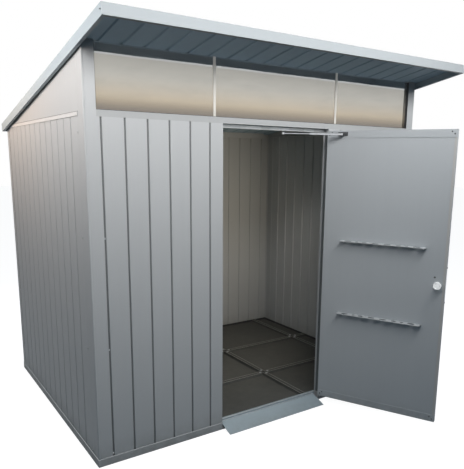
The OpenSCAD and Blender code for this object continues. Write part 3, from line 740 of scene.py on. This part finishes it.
@dataclass(frozen=True)
class ShedSizes:
    """Driving sizes of the modelled shed, in metres, from its left front corner where nothing else is said."""

    half_w: float = 1.21
    half_d: float = 0.88
    front_h: float = 2.234
    roof_fall: float = 0.32
    post_front: float = 0.085
    post_side: float = 0.087
    side_last: float = 1.699
    groove_depth: float = 0.008
    groove_pitch: float = 0.125
    base_h: float = 0.045
    base_t: float = 0.003
    door_x: float = 0.796
    door_end: float = 1.603
    sill_top: float = 1.909
    post_window: float = 0.063
    pane_inset: float = 0.020
    ridge_x: Values = (0.766, 1.510, 2.254)
    ridge_y: Values = (0.535, 1.100)
    ridge_top: float = 0.046

    @property
    def width(self) -> float:
        """Width between the walls' outer faces."""
        return 2.0 * self.half_w

    @property
    def depth(self) -> float:
        """Depth between the walls' outer faces."""
        return 2.0 * self.half_d

    @property
    def slope(self) -> float:
        """Fall of the roof, as an angle."""
        return math.atan(self.roof_fall / self.depth)

    def part(self, x: Array, y: Array, z: Array) -> Array:
        """Places measured from the left front corner, carried to the shed's frame, one row each."""
        return as_rows(np.subtract(x, self.half_w), np.subtract(y, self.half_d), z)

    def on_roof(self, x: Array, along: Array, height: float) -> Array:
        """Places on the roof.

        Args:
            x: Distances from the shed's middle.
            along: Distances down the slope from the front wall.
            height: Distance from the sheet's underside.

        Returns:
            Places, one row each.
        """
        down, up = math.cos(self.slope), math.sin(self.slope)
        y = -self.half_d + np.multiply(along, down) + height * up
        return as_rows(x, y, self.front_h - np.multiply(along, up) + height * down)


SIZES = ShedSizes()


@dataclass(frozen=True)
class LeafFrame:
    """Places on the open leaf, from distances on the closed one."""

    axis: Pair = (0.390, -0.888)
    angle: float = 116.0
    hinge_edge: float = 0.387
    inner_face: float = -0.855
    width: float = 0.795
    thick: float = 0.025

    @property
    def inward(self) -> Array:
        """Direction that the inner face looks to."""
        return np.array([*self.turned(0.0, 1.0), 0.0])

    @property
    def edgeward(self) -> Array:
        """Direction that the free edge looks to."""
        return np.array([*self.turned(-1.0, 0.0), 0.0])

    def turned(self, x: Array, y: Array) -> tuple[Array, Array]:
        """A direction in plan, turned with the leaf."""
        c, s = math.cos(math.radians(self.angle)), math.sin(math.radians(self.angle))
        return x * c - y * s, x * s + y * c

    def places(self, u: Array, off: Array, z: Array) -> Array:
        """Places on the leaf.

        Args:
            u: Distances from the hinge edge.
            off: Distances off the inner face.
            z: Heights.

        Returns:
            Places in the shed's frame, one row each.
        """
        axis_x, axis_y = self.axis
        x, y = self.turned(np.subtract(self.hinge_edge, u) - axis_x, np.add(self.inner_face, off) - axis_y)
        return as_rows(axis_x + x, axis_y + y, z)


LEAF = LeafFrame()


@dataclass(frozen=True)
class ScrewHead:
    """A domed head on a sealing washer."""

    washer_r: float = 0.0072
    washer_t: float = 0.0012
    dome_r: float = 0.0046
    dome_h: float = 0.0032
    step: float = 1.2
    flare: float = 1.1
    tip_r: float = 1e-5
    sunk: float = 0.0005
    columns: int = 14
    arcs: int = 5
    upright: float = 0.9

    def shape(self) -> Array:
        """The head as a surface of revolution: a flat washer, a step, and a quarter-ellipse dome.

        Point (i, j) is radius i at angle j, at height i.

        Returns:
            Grid of points, profile by angle.
        """
        arc = np.linspace(0.0, 0.5 * np.pi, self.arcs)
        step = self.step * self.washer_t
        radii = np.concatenate([[self.washer_r, self.washer_r, self.flare * self.dome_r], self.dome_r * np.cos(arc)])
        radii[-1] = self.tip_r
        heights = np.concatenate([[-self.sunk, self.washer_t, step], step + self.dome_h * np.sin(arc)])
        x, y = (np.outer(radii, turn) for turn in ring_profile(2.0, 2.0, self.columns).T)
        return as_rows(x, y, heights[:, None]).reshape(*x.shape, 3)

    def row(self, name: str, places: Array, normals: Array | Triple) -> Piece:
        """Copies of the head, joined in one mesh.

        Each copy is the head's grid turned so that its +Z is the normal, and moved to its place.

        Args:
            name: Name of the piece.
            places: Where the heads sit, one row each.
            normals: Which way they face, for all heads or one row for each.

        Returns:
            The joined piece.
        """
        normals = np.broadcast_to(normals, places.shape)
        helper = np.where(np.abs(normals[:, 2:]) > self.upright, [Facing.RIGHT.value], [Facing.UP.value])
        across = np.cross(helper, normals)
        across /= np.linalg.norm(across, axis=1, keepdims=True)
        turns = np.stack([across, np.cross(normals, across), normals], axis=-1)
        return tubes(name, np.einsum("kab,ijb->kija", turns, self.shape()) + places[:, None, None, :])


@dataclass
class Assembly(ABC):
    """A set of small pieces that belong together, with the materials that they choose from."""

    finishes: Finishes

    @abstractmethod
    def build(self) -> None:
        """Makes the pieces."""

    def attach(self, piece: Piece, slot: Slot, look: Look | None = None, body: Body = Body.SHED) -> None:
        """Puts a new piece on its body, with its finish: its own look, or else the one of its slot.

        Args:
            piece: The new piece.
            slot: The record's material slot.
            look: Its finish, where that isn't the slot's.
            body: Body that it moves with.
        """
        piece.data.materials.append(self.finishes.made[look or slot])
        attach(piece, body.value)
        LOG.info("%s: %d faces on %s", piece.name, len(piece.data.polygons), body.value)


@dataclass
class WallScrews(Assembly):
    """Screws in the grooves of the corner posts, and through the plain laps of the side sheets."""

    first: float = 0.06
    pitch: float = 0.6035
    count: int = 3
    tongue: float = 0.011
    side_top: float = 1.80
    head: ScrewHead = ScrewHead(washer_r=0.0055, dome_r=0.0042)

    def build(self) -> None:
        """Makes the screws of the front, the rear and the two sides."""
        heights = self.first + self.pitch * np.arange(self.count)
        x, z = crossed([SIZES.post_front, SIZES.width - SIZES.post_front], heights)
        places = [SIZES.part(x, y, z) for y in (SIZES.groove_depth, SIZES.depth - SIZES.groove_depth)]
        self.attach(self.pairs("wall_screws", places, (Facing.FRONT, Facing.REAR)), Slot.ZINC)
        laps = [SIZES.post_side + self.tongue, SIZES.side_last - self.tongue]
        y, z = crossed(laps, np.append(heights, self.side_top))
        places = [SIZES.part(x, y, z) for x in (0.0, SIZES.width)]
        self.attach(self.pairs("side_screws", places, (Facing.LEFT, Facing.RIGHT)), Slot.WALL)

    def pairs(self, name: str, places: list[Array], ways: tuple[Facing, Facing]) -> Piece:
        """Screws on two opposite walls.

        Args:
            name: Name of the piece.
            places: Where they sit on each wall.
            ways: Which way each wall looks.

        Returns:
            The joined piece.
        """
        normals = np.repeat([way.value for way in ways], [len(rows) for rows in places], axis=0)
        return self.head.row(name, np.concatenate(places), normals)


@dataclass
class RoofScrews(Assembly):
    """Sealed screws on the roof's ribs, and the ones that hold the edge trim's corners."""

    rows: Values = (-0.30, 0.06, 0.90, 1.72)
    rib_top: float = 0.009
    ribs: int = 19
    eave_front: float = 0.37607
    eave_half: float = 1.238
    corner_in: float = 0.012
    corner_drop: float = -0.018
    head: ScrewHead = ScrewHead(washer_r=0.0068)
    corner_head: ScrewHead = ScrewHead(washer_r=0.004, dome_r=0.003)

    def build(self) -> None:
        """Makes the roof's screws."""
        first = SIZES.post_front - SIZES.half_w
        x, along = crossed(first + SIZES.groove_pitch * np.arange(self.ribs), self.rows)
        tops, up = SIZES.on_roof(x, along, self.rib_top), (0.0, math.sin(SIZES.slope), math.cos(SIZES.slope))
        self.attach(self.head.row("roof_screws", tops, up), Slot.ZINC)
        sides = [-self.eave_half, self.eave_half]
        corners = SIZES.on_roof(sides, self.corner_in - self.eave_front, self.corner_drop)
        outward = [Facing.LEFT.value, Facing.RIGHT.value]
        self.attach(self.corner_head.row("trim_corner_screws", corners, outward), Slot.BRACKET)


@dataclass
class BaseHem(Assembly):
    """The rolled hem on the base rails' outer lip, open at the doorway, in a bright plated finish that paints its
    highlight.
    """

    section: Pair = (0.0046, 0.0052)

    def build(self) -> None:
        """Makes the hem: an ellipse carried round the base, with mitred corners."""
        w, d = (half + 0.5 * SIZES.base_t for half in (SIZES.half_w, SIZES.half_d))
        first, last = SIZES.door_end - SIZES.half_w, SIZES.door_x - SIZES.half_w
        path = as_rows([first, w, w, -w, -w, last], [-d, -d, d, d, -d, -d], SIZES.base_h)
        inward = as_rows([0.0, -1.0, -1.0, 1.0, 1.0, 0.0], [1.0, 1.0, -1.0, -1.0, 1.0, 1.0], 0.0)
        up = np.broadcast_to(Facing.UP.value, path.shape)
        rings = laid_out(path, inward, up, ring_profile(*self.section))
        self.attach(tubes("base_hem", rings[None]), Slot.TRIM, Look.HEM)


@dataclass
class EntryTrim(Assembly):
    """The nosing on the threshold and the rounded fold of the ramp, in bright zinc as painted highlights, with the
    ramp's screws.
    """

    nosing: Pair = (0.006, 0.005)
    nosing_y: float = 0.0365
    nosing_z: float = 0.050
    lip: float = 0.013
    fold: Pair = (0.008, 0.0045)
    fold_y: float = 0.026
    fold_z: float = 0.041
    ramp_ends: Pair = (0.802, 1.573)
    screw_in: float = 0.022
    screw_back: float = 0.003
    head: ScrewHead = ScrewHead(washer_r=0.004, dome_r=0.003, dome_h=0.0015)

    def build(self) -> None:
        """Makes the nosing, the fold and the screws."""
        # Bright zinc nosing and fold: painted highlights along the threshold.
        ends = SIZES.part([SIZES.door_x + self.lip, SIZES.door_end - self.lip], self.nosing_y, self.nosing_z)
        nosing = strips("threshold_nosing", ends[:1], ends[1:], Facing.REAR.value, ring_profile(*self.nosing))
        self.attach(nosing, Slot.ZINC)
        ends = SIZES.part(self.ramp_ends, self.fold_y, self.fold_z)
        fold = strips("ramp_fold", ends[:1], ends[1:], Facing.REAR.value, ring_profile(*self.fold))
        self.attach(fold, Slot.ZINC)
        first, last = self.ramp_ends
        x = [first + self.screw_in, 0.5 * (first + last), last - self.screw_in]
        places = SIZES.part(x, self.fold_y + self.screw_back, self.fold_z)
        self.attach(self.head.row("ramp_screws", places, Facing.UP.value), Slot.ZINC)


@dataclass
class PostBeads(Assembly):
    """The rolled corners of the four posts, the rear posts' lap seams, and a dark line under each gable: painted
    shadow of the gable's overlap.
    """

    bead: Pair = (0.012, 0.012)
    bead_sides: int = 16
    inset: float = 0.0042
    clear: float = 0.006
    seam: Pair = (0.0012, 0.007)
    gable_shadow_line: Pair = (0.0064, 0.003)
    seat: float = 0.4
    rail_top: float = 1.901
    rail_foot: float = 1.881

    def build(self) -> None:
        """Makes the beads, the seams and the shadow lines."""
        right = Facing.RIGHT.value
        x, y = crossed([self.inset, SIZES.width - self.inset], [self.inset, SIZES.depth - self.inset])
        top = SIZES.front_h - np.where(y < SIZES.half_d, 0.0, SIZES.roof_fall) - self.clear
        ends = (SIZES.part(x, y, z) for z in (SIZES.base_h, top))
        self.attach(strips("post_corner_beads", *ends, right, ring_profile(*self.bead, self.bead_sides)), Slot.WALL)
        x = [0.0, SIZES.width]
        ends = (SIZES.part(x, SIZES.side_last, z) for z in (SIZES.base_h, self.rail_foot))
        self.attach(strips("post_lap_seams", *ends, right, block_profile(*self.seam)), Slot.BRACKET, Look.SEAL_AND_SHADE)
        z = self.rail_top + self.seat * self.gable_shadow_line[1]
        ends = (SIZES.part(x, y, z) for y in (SIZES.post_side, SIZES.side_last))
        self.attach(strips("gable_shadow_lines", *ends, right, ring_profile(*self.gable_shadow_line)), Slot.BRACKET, Look.SEAL_AND_SHADE)


@dataclass
class FloorFixings(Assembly):
    """Caps and screws where the floor's ridges cross."""

    reach: float = 0.034
    cap: ScrewHead = ScrewHead(washer_r=0.013, dome_r=0.009, dome_h=0.003)
    screw: ScrewHead = ScrewHead(washer_r=0.010, dome_r=0.007, dome_h=0.004)

    def build(self) -> None:
        """Makes four bright screws round a dark cap at each crossing."""
        middle = SIZES.part(*crossed(SIZES.ridge_x, SIZES.ridge_y), SIZES.ridge_top)
        self.attach(self.cap.row("floor_caps", middle, Facing.UP.value), Slot.BRACKET, Look.SEAL_AND_SHADE)
        ways = (Facing.RIGHT, Facing.LEFT, Facing.REAR, Facing.FRONT)
        places = (middle[:, None] + self.reach * np.array([way.value for way in ways])).reshape(-1, 3)
        self.attach(self.screw.row("floor_screws", places, Facing.UP.value), Slot.ZINC)


@dataclass
class FloorEdges(Assembly):
    """The rolled edges of the floor's ridges, lighter as a painted highlight, and a dark strip at the walls' feet,
    painted shade in the corner.
    """

    half_top: float = 0.0145
    half_foot: float = 0.024
    bead: Pair = (0.005, 0.003)
    front: float = 0.040
    wall: float = 0.015
    shade_strip: Pair = (0.010, 0.034)
    floor_top: float = 0.028

    def build(self) -> None:
        """Makes the beads and the shade strips."""
        near, far, right = self.wall, SIZES.depth - self.wall, SIZES.width - self.wall
        edges, bead = [-self.half_top, self.half_top], ring_profile(*self.bead)
        columns, rows = (np.add.outer(ridges, edges).ravel() for ridges in (SIZES.ridge_x, SIZES.ridge_y))
        ends = (SIZES.part(columns, y, SIZES.ridge_top) for y in (self.front, far))
        self.attach(strips("floor_beads_long", *ends, Facing.RIGHT.value, bead), Slot.FLOOR, Look.LIT_EDGE)
        from_x = np.append(near, np.add(SIZES.ridge_x, self.half_foot))
        to_x = np.append(np.subtract(SIZES.ridge_x, self.half_foot), right)
        ends = (SIZES.part(*crossed(x, rows), SIZES.ridge_top) for x in (from_x, to_x))
        self.attach(strips("floor_beads_cross", *ends, Facing.REAR.value, bead), Slot.FLOOR, Look.LIT_EDGE)
        starts = SIZES.part([near, near, right], [self.front, far, far], self.floor_top)
        ends = SIZES.part([near, right, right], [far, far, self.front], self.floor_top)
        inward = [Facing.RIGHT.value, Facing.FRONT.value, Facing.LEFT.value]
        shade_strip = strips("floor_wall_shade", starts, ends, inward, ring_profile(*self.shade_strip))
        self.attach(shade_strip, Slot.BRACKET, Look.SEAL_AND_SHADE)


@dataclass
class WindowShadesAndSeal(Assembly):
    """A dark strip in the reveal at each end of the window strip, painted shade, and a dark seal bead along the
    sill.
    """

    thick: float = 0.0016
    gap: float = 0.0005
    head_gap: float = 0.004
    bead: Pair = (0.005, 0.004)
    bead_gap: float = 0.002
    seat: float = 0.4

    def build(self) -> None:
        """Makes the shade strips and the seal."""
        depth = SIZES.pane_inset - 2.0 * self.gap
        roof = SIZES.front_h - self.head_gap - 0.5 * depth * math.tan(SIZES.slope)
        first, last = SIZES.post_window, SIZES.width - SIZES.post_window
        profile = block_profile(self.thick, depth)
        for side, x in (("left", first + 0.5 * self.thick), ("right", last - 0.5 * self.thick)):
            ends = SIZES.part(x, self.gap + 0.5 * depth, [SIZES.sill_top, roof])
            shade_strip = strips(f"window_reveal_shade_{side}", ends[:1], ends[1:], Facing.RIGHT.value, profile)
            self.attach(shade_strip, Slot.BRACKET, Look.SEAL_AND_SHADE)
        width, height = self.bead
        ends = SIZES.part([first + self.bead_gap, last - self.bead_gap], SIZES.pane_inset - 0.5 * width,
                          SIZES.sill_top + self.seat * height)
        bead = strips("window_sill_seal", ends[:1], ends[1:], Facing.REAR.value, ring_profile(width, height))
        self.attach(bead, Slot.BRACKET, Look.SEAL_AND_SHADE)


@dataclass
class JambShade(Assembly):
    """A dark grey strip on the jamb's web in the hinge side of the doorway: painted shade."""

    x: float = 0.3925
    y: Pair = (-0.876, -0.848)
    z: Pair = (0.055, 1.850)
    thick: float = 0.0014
    chamfer: float = 0.0004

    def build(self) -> None:
        """Makes the strip."""
        ends = as_rows(self.x, 0.5 * sum(self.y), self.z)
        profile = block_profile(self.thick, self.y[1] - self.y[0], self.chamfer)
        shade_strip = strips("jamb_shade_strip", ends[:1], ends[1:], Facing.RIGHT.value, profile)
        self.attach(shade_strip, Slot.BRACKET, Look.SHADE_GREY)


@dataclass
class HingeScrews(Assembly):
    """Screws of the three hinges, on the jamb and on the leaf."""

    heights: Values = (0.220, 0.950, 1.680)
    steps: Values = (-0.030, 0.0, 0.030)
    from_axis: float = 0.026
    plate_t: float = 0.003
    head: ScrewHead = ScrewHead(washer_r=0.0045, dome_r=0.0036, dome_h=0.0016)

    def build(self) -> None:
        """Makes the screws on both plates of each hinge."""
        z = np.add.outer(self.heights, self.steps).ravel()
        axis_x = LEAF.axis[0]
        places = as_rows(axis_x + self.from_axis, -self.plate_t - SIZES.half_d, z)
        self.attach(self.head.row("hinge_screws_frame", places, Facing.FRONT.value), Slot.ZINC)
        places = LEAF.places(self.from_axis + LEAF.hinge_edge - axis_x, -LEAF.thick - self.plate_t, z)
        self.attach(self.head.row("hinge_screws_door", places, -LEAF.inward), Slot.ZINC, body=Body.DOOR)


@dataclass
class DoorFixings(Assembly):
    """Screws, slot rims, folded edge and latch of the leaf."""

    face: float = 0.002
    rail_z: Pair = (1.8405, 0.0725)
    rail_u: Values = (0.016, 0.032, 0.763, 0.779)
    rail_lift: Values = (-0.004, 0.009, 0.009, -0.004)
    rail_head: ScrewHead = ScrewHead(washer_r=0.0046, dome_r=0.0036, dome_h=0.0018)
    tool_z: Pair = (1.164, 0.677)
    tool_u: Values = (0.140, 0.395, 0.650)
    tool_drop: float = 0.010
    tool_head: ScrewHead = ScrewHead(washer_r=0.004, dome_r=0.0032, dome_h=0.0016)
    tool_start: float = 0.122
    tool_l: float = 0.546
    slot_share: Values = (0.07, 0.20, 0.29, 0.40)
    slot_l: Values = (0.040, 0.028, 0.016, 0.040)
    slot_w: float = 0.016
    shelf: float = 0.046
    rim: Pair = (0.003, 0.003)
    rim_points: int = 32
    fold: Pair = (0.0012, 0.015)
    fold_gap: float = 0.001
    fold_z: Pair = (0.095, 1.816)
    knob: Pair = (0.752, 0.942)
    plate: Pair = (0.0016, 0.020)
    plate_half: float = 0.118
    plate_chamfer: float = 0.0004
    plate_screw: float = 0.108
    plate_head: ScrewHead = ScrewHead(washer_r=0.005, dome_r=0.004, dome_h=0.002)
    catch: Pair = (-0.022, 0.044)
    catch_head: ScrewHead = ScrewHead(washer_r=0.006, dome_r=0.0045, dome_h=0.003)

    def build(self) -> None:
        """Makes the leaf's small fittings."""
        u, z = crossed(self.rail_u, self.rail_z)
        places = LEAF.places(u, self.face, z + np.tile(self.rail_lift, len(self.rail_z)))
        self.attach(self.rail_head.row("door_rail_screws", places, LEAF.inward), Slot.BRACKET, body=Body.DOOR)
        u, z = crossed(self.tool_u, self.tool_z)
        places = LEAF.places(u, self.face, z - self.tool_drop)
        self.attach(self.tool_head.row("tool_rail_screws", places, LEAF.inward), Slot.ZINC, body=Body.DOOR)
        self.latch()
        self.edge_fold()
        self.slot_rims()

    def slot_rims(self) -> None:
        """The pressed rims round the slots of the tool rails, dark grey as painted shade that makes the slots read
        darker.

        Each rim is a small oval outline carried round its slot. At angle t the path is a half circle of the slot's
        end, moved outwards by the slot's straight half length, to the side that the cosine of t points to.
        """
        share, reach = np.array(self.slot_share), 0.5 * np.subtract(self.slot_l, self.slot_w)
        u, z = crossed(self.tool_start + self.tool_l * (0.5 + np.append(-share, share)), self.tool_z)
        reach = np.tile(reach, len(u) // len(reach))
        u, z, reach = (values[:, None, None] for values in (u, z, reach))
        t = ((np.arange(self.rim_points) + 0.5) * math.tau / self.rim_points)[:, None]
        ring = ring_profile(*self.rim)
        out = 0.5 * self.slot_w + ring[:, 0]
        along = u + np.sign(np.cos(t)) * reach + out * np.cos(t)
        points = LEAF.places(along, 0.5 * self.shelf + out * np.sin(t), z + ring[:, 1])
        rims = tubes("tool_slot_shade_rims", points.reshape(*along.shape, 3), looped=True)
        self.attach(rims, Slot.ZINC, Look.SHADE_GREY, Body.DOOR)

    def edge_fold(self) -> None:
        """The skin's folded edge, a flat strip on the inner face along the leaf's free side."""
        thick, width = self.fold
        ends = LEAF.places(LEAF.width - 0.5 * width - self.fold_gap, 0.5 * thick, self.fold_z)
        fold = strips("leaf_edge_fold", ends[:1], ends[1:], LEAF.inward, block_profile(thick, width))
        self.attach(fold, Slot.DOOR, Look.LEAF_EDGE, Body.DOOR)

    def latch(self) -> None:
        """The plate on the leaf's free edge with its two screws, and the catch above the knob."""
        knob_u, knob_z = self.knob
        thick, middle, both = self.plate[0], -0.5 * LEAF.thick, np.array([-1.0, 1.0])
        ends = LEAF.places(LEAF.width + 0.5 * thick, middle, knob_z + self.plate_half * both)
        profile = block_profile(*self.plate, self.plate_chamfer)
        plate = strips("latch_edge_plate", ends[:1], ends[1:], LEAF.edgeward, profile)
        self.attach(plate, Slot.ZINC, body=Body.DOOR)
        places = LEAF.places(LEAF.width + thick, middle, knob_z + self.plate_screw * both)
        self.attach(self.plate_head.row("latch_screws", places, LEAF.edgeward), Slot.BRACKET, body=Body.DOOR)
        place = LEAF.places(knob_u + self.catch[0], 0.0, knob_z + self.catch[1])
        self.attach(self.catch_head.row("latch_catch", place, LEAF.inward), Slot.BRACKET, body=Body.DOOR)


# Light, floor and camera


@dataclass(frozen=True)
class PhotoCamera:
    """The camera of the photograph, in the shed's frame."""

    image: tuple[int, int] = (464, 469)
    place: Triple = (-2.0952, -3.5799, 1.6799)
    yaw: float = 34.6635
    pitch: float = -11.2678
    roll: float = 0.705
    focal_px: float = 543.91
    centre_px: Pair = (248.40, 267.29)
    sensor: float = 36.0

    def build(self) -> None:
        """Makes the camera. The sensor's width is the image's long side, and the shift moves the view's centre."""
        width, height = self.image
        long_side = max(self.image)
        data = bpy.data.cameras.new("photo_camera")
        data.sensor_width = self.sensor
        data.lens = self.focal_px / long_side * self.sensor
        data.shift_x = (width / 2 - self.centre_px[0]) / long_side
        data.shift_y = (self.centre_px[1] - height / 2) / long_side
        data.dof.use_dof = False
        camera = bpy.data.objects.new("photo_camera", data)
        turn = (Matrix.Rotation(math.radians(-self.yaw), 4, "Z")
                @ Matrix.Rotation(math.radians(90.0 + self.pitch), 4, "X")
                @ Matrix.Rotation(math.radians(self.roll), 4, "Z"))
        camera.matrix_world = Matrix.Translation(self.place) @ turn
        bpy.context.collection.objects.link(camera)
        bpy.context.scene.camera = camera


@dataclass(frozen=True)
class Lamp:
    """A soft rectangular lamp that looks at a point."""

    name: str
    place: Triple
    target: Triple
    size: Pair
    power: float
    colour: Triple
    spread: float = math.pi

    def build(self) -> None:
        """Makes the lamp. The camera, mirrors and panes don't see it."""
        data = bpy.data.lights.new(self.name, "AREA")
        data.shape = "RECTANGLE"
        data.size, data.size_y = self.size
        data.energy = self.power
        data.spread = self.spread
        data.color = self.colour
        lamp = bpy.data.objects.new(self.name, data)
        lamp.location = self.place
        away = Vector(self.place) - Vector(self.target)
        lamp.rotation_euler = away.to_track_quat("Z", "Y").to_euler()
        lamp.visible_camera = False
        lamp.visible_glossy = False
        lamp.visible_transmission = False
        bpy.context.collection.objects.link(lamp)


class Studio:
    """The pale floor, the world and the lamps."""

    FLOOR_HALF = 30.0
    FLOOR_BOUNCE = (0.08, 0.095, 0.11)
    FLOOR_SHADE = (0.25, 0.25, 0.25)
    FLOOR_GLOW = 0.93
    ALL_ROUND = (0.61, 0.86, 1.06)
    ALL_ROUND_STRENGTH = 0.19
    LAMPS = (
        Lamp("front_softbox", (-0.25, -2.35, 2.70), (-0.25, -0.9, 2.2), (3.7, 0.4), 56.0, (1.0, 0.985, 0.97)),
        Lamp("left_softbox", (-1.83, -0.75, 2.25), (-1.2, -0.7, 1.97), (1.5, 0.3), 9.4, (1.0, 0.93, 0.88)),
        Lamp("warm_softbox", (-1.83, 0.70, 2.25), (-1.2, 0.75, 1.97), (1.4, 0.3), 9.4, (1.0, 0.79, 0.64)),
        Lamp("room_softbox", (0.9, -0.6, 1.33), (-0.85, 0.9, 0.98), (0.3, 0.5), 7.1, (1.0, 0.88, 0.70), 2.5),
        Lamp("rear_softbox", (0.0, 3.3, 2.1), (0.0, 0.9, 1.1), (3.0, 0.8), 34.0, (1.0, 0.99, 0.97)),
        Lamp("right_softbox", (3.5, 0.2, 2.1), (1.2, 0.2, 1.1), (2.4, 0.8), 28.0, (1.0, 0.97, 0.94)),
        Lamp("top_softbox", (0.0, -0.5, 6.0), (0.0, 0.0, 2.0), (4.0, 4.0), 70.0, (0.92, 0.97, 1.0)),
    )

    def build(self) -> None:
        """Makes the floor, the world and the lamps."""
        self.floor()
        self.world()
        for lamp in self.LAMPS:
            lamp.build()

    @staticmethod
    def split(graph: Graph, output: str, bounced: Socket, seen: Socket) -> None:
        """Shows one shader to the eye, to mirrors and to panes, and another one to bounced light.

        Args:
            graph: The material's or world's graph.
            output: Name of its output node.
            bounced: Shader for bounced light.
            seen: Shader for the rest.
        """
        path = graph.node("LightPath").outputs
        mirrored = graph.math("MAXIMUM", path["Is Glossy Ray"], path["Is Transmission Ray"])
        looked_at = graph.math("MAXIMUM", path["Is Camera Ray"], mirrored)
        chosen = graph.fill(graph.node("MixShader"), (0, 1, 2), (looked_at, bounced, seen))[0]
        graph.feed(graph.tree.nodes[output], Surface=chosen)

    def floor(self) -> None:
        """A flat pale floor: white to the eye, dark to bounced light, and shaded by the shed."""
        half = self.FLOOR_HALF
        corners = as_rows([-half, half, half, -half], [-half, -half, half, half], 0.0)
        piece = new_piece("studio_floor", corners, [[0, 1, 2, 3]])
        material = bpy.data.materials.new("pale_floor")
        material.use_nodes = True
        graph = Graph(material.node_tree)
        graph.tree.nodes.remove(graph.tree.nodes["Principled BSDF"])
        bounced, shaded = (graph.feed(graph.node("BsdfDiffuse"), Color=rgba(colour))[0]
                           for colour in (self.FLOOR_BOUNCE, self.FLOOR_SHADE))
        glow = graph.feed(graph.node("Emission"), Color=rgba(WHITE), Strength=self.FLOOR_GLOW)[0]
        bright = graph.fill(graph.node("AddShader"), (0, 1), (glow, shaded))[0]
        self.split(graph, "Material Output", bounced, bright)
        piece.data.materials.append(material)

    def world(self) -> None:
        """A white backdrop, and a dim even light from all round."""
        world = bpy.data.worlds.new("studio_world")
        bpy.context.scene.world = world
        world.use_nodes = True
        graph = Graph(world.node_tree)
        own = graph.tree.nodes["Background"]
        dim = graph.feed(own, Color=rgba(self.ALL_ROUND), Strength=self.ALL_ROUND_STRENGTH)[0]
        white = graph.feed(graph.node("Background"), Color=rgba(WHITE), Strength=1.0)[0]
        self.split(graph, "World Output", dim, white)


def main() -> None:
    """Builds the scene in order."""
    logging.basicConfig(level=logging.INFO, format="%(message)s")
    bpy.context.scene.view_settings.view_transform = "Standard"
    PhotoCamera().build()
    Studio().build()
    finishes = Finishes()
    finishes.dress_nodes()
    for kind in (WallScrews, RoofScrews, BaseHem, EntryTrim, PostBeads, FloorFixings, FloorEdges, WindowShadesAndSeal,
                 JambShade, HingeScrews, DoorFixings):
        kind(finishes).build()


if __name__ == "__main__":
    main()
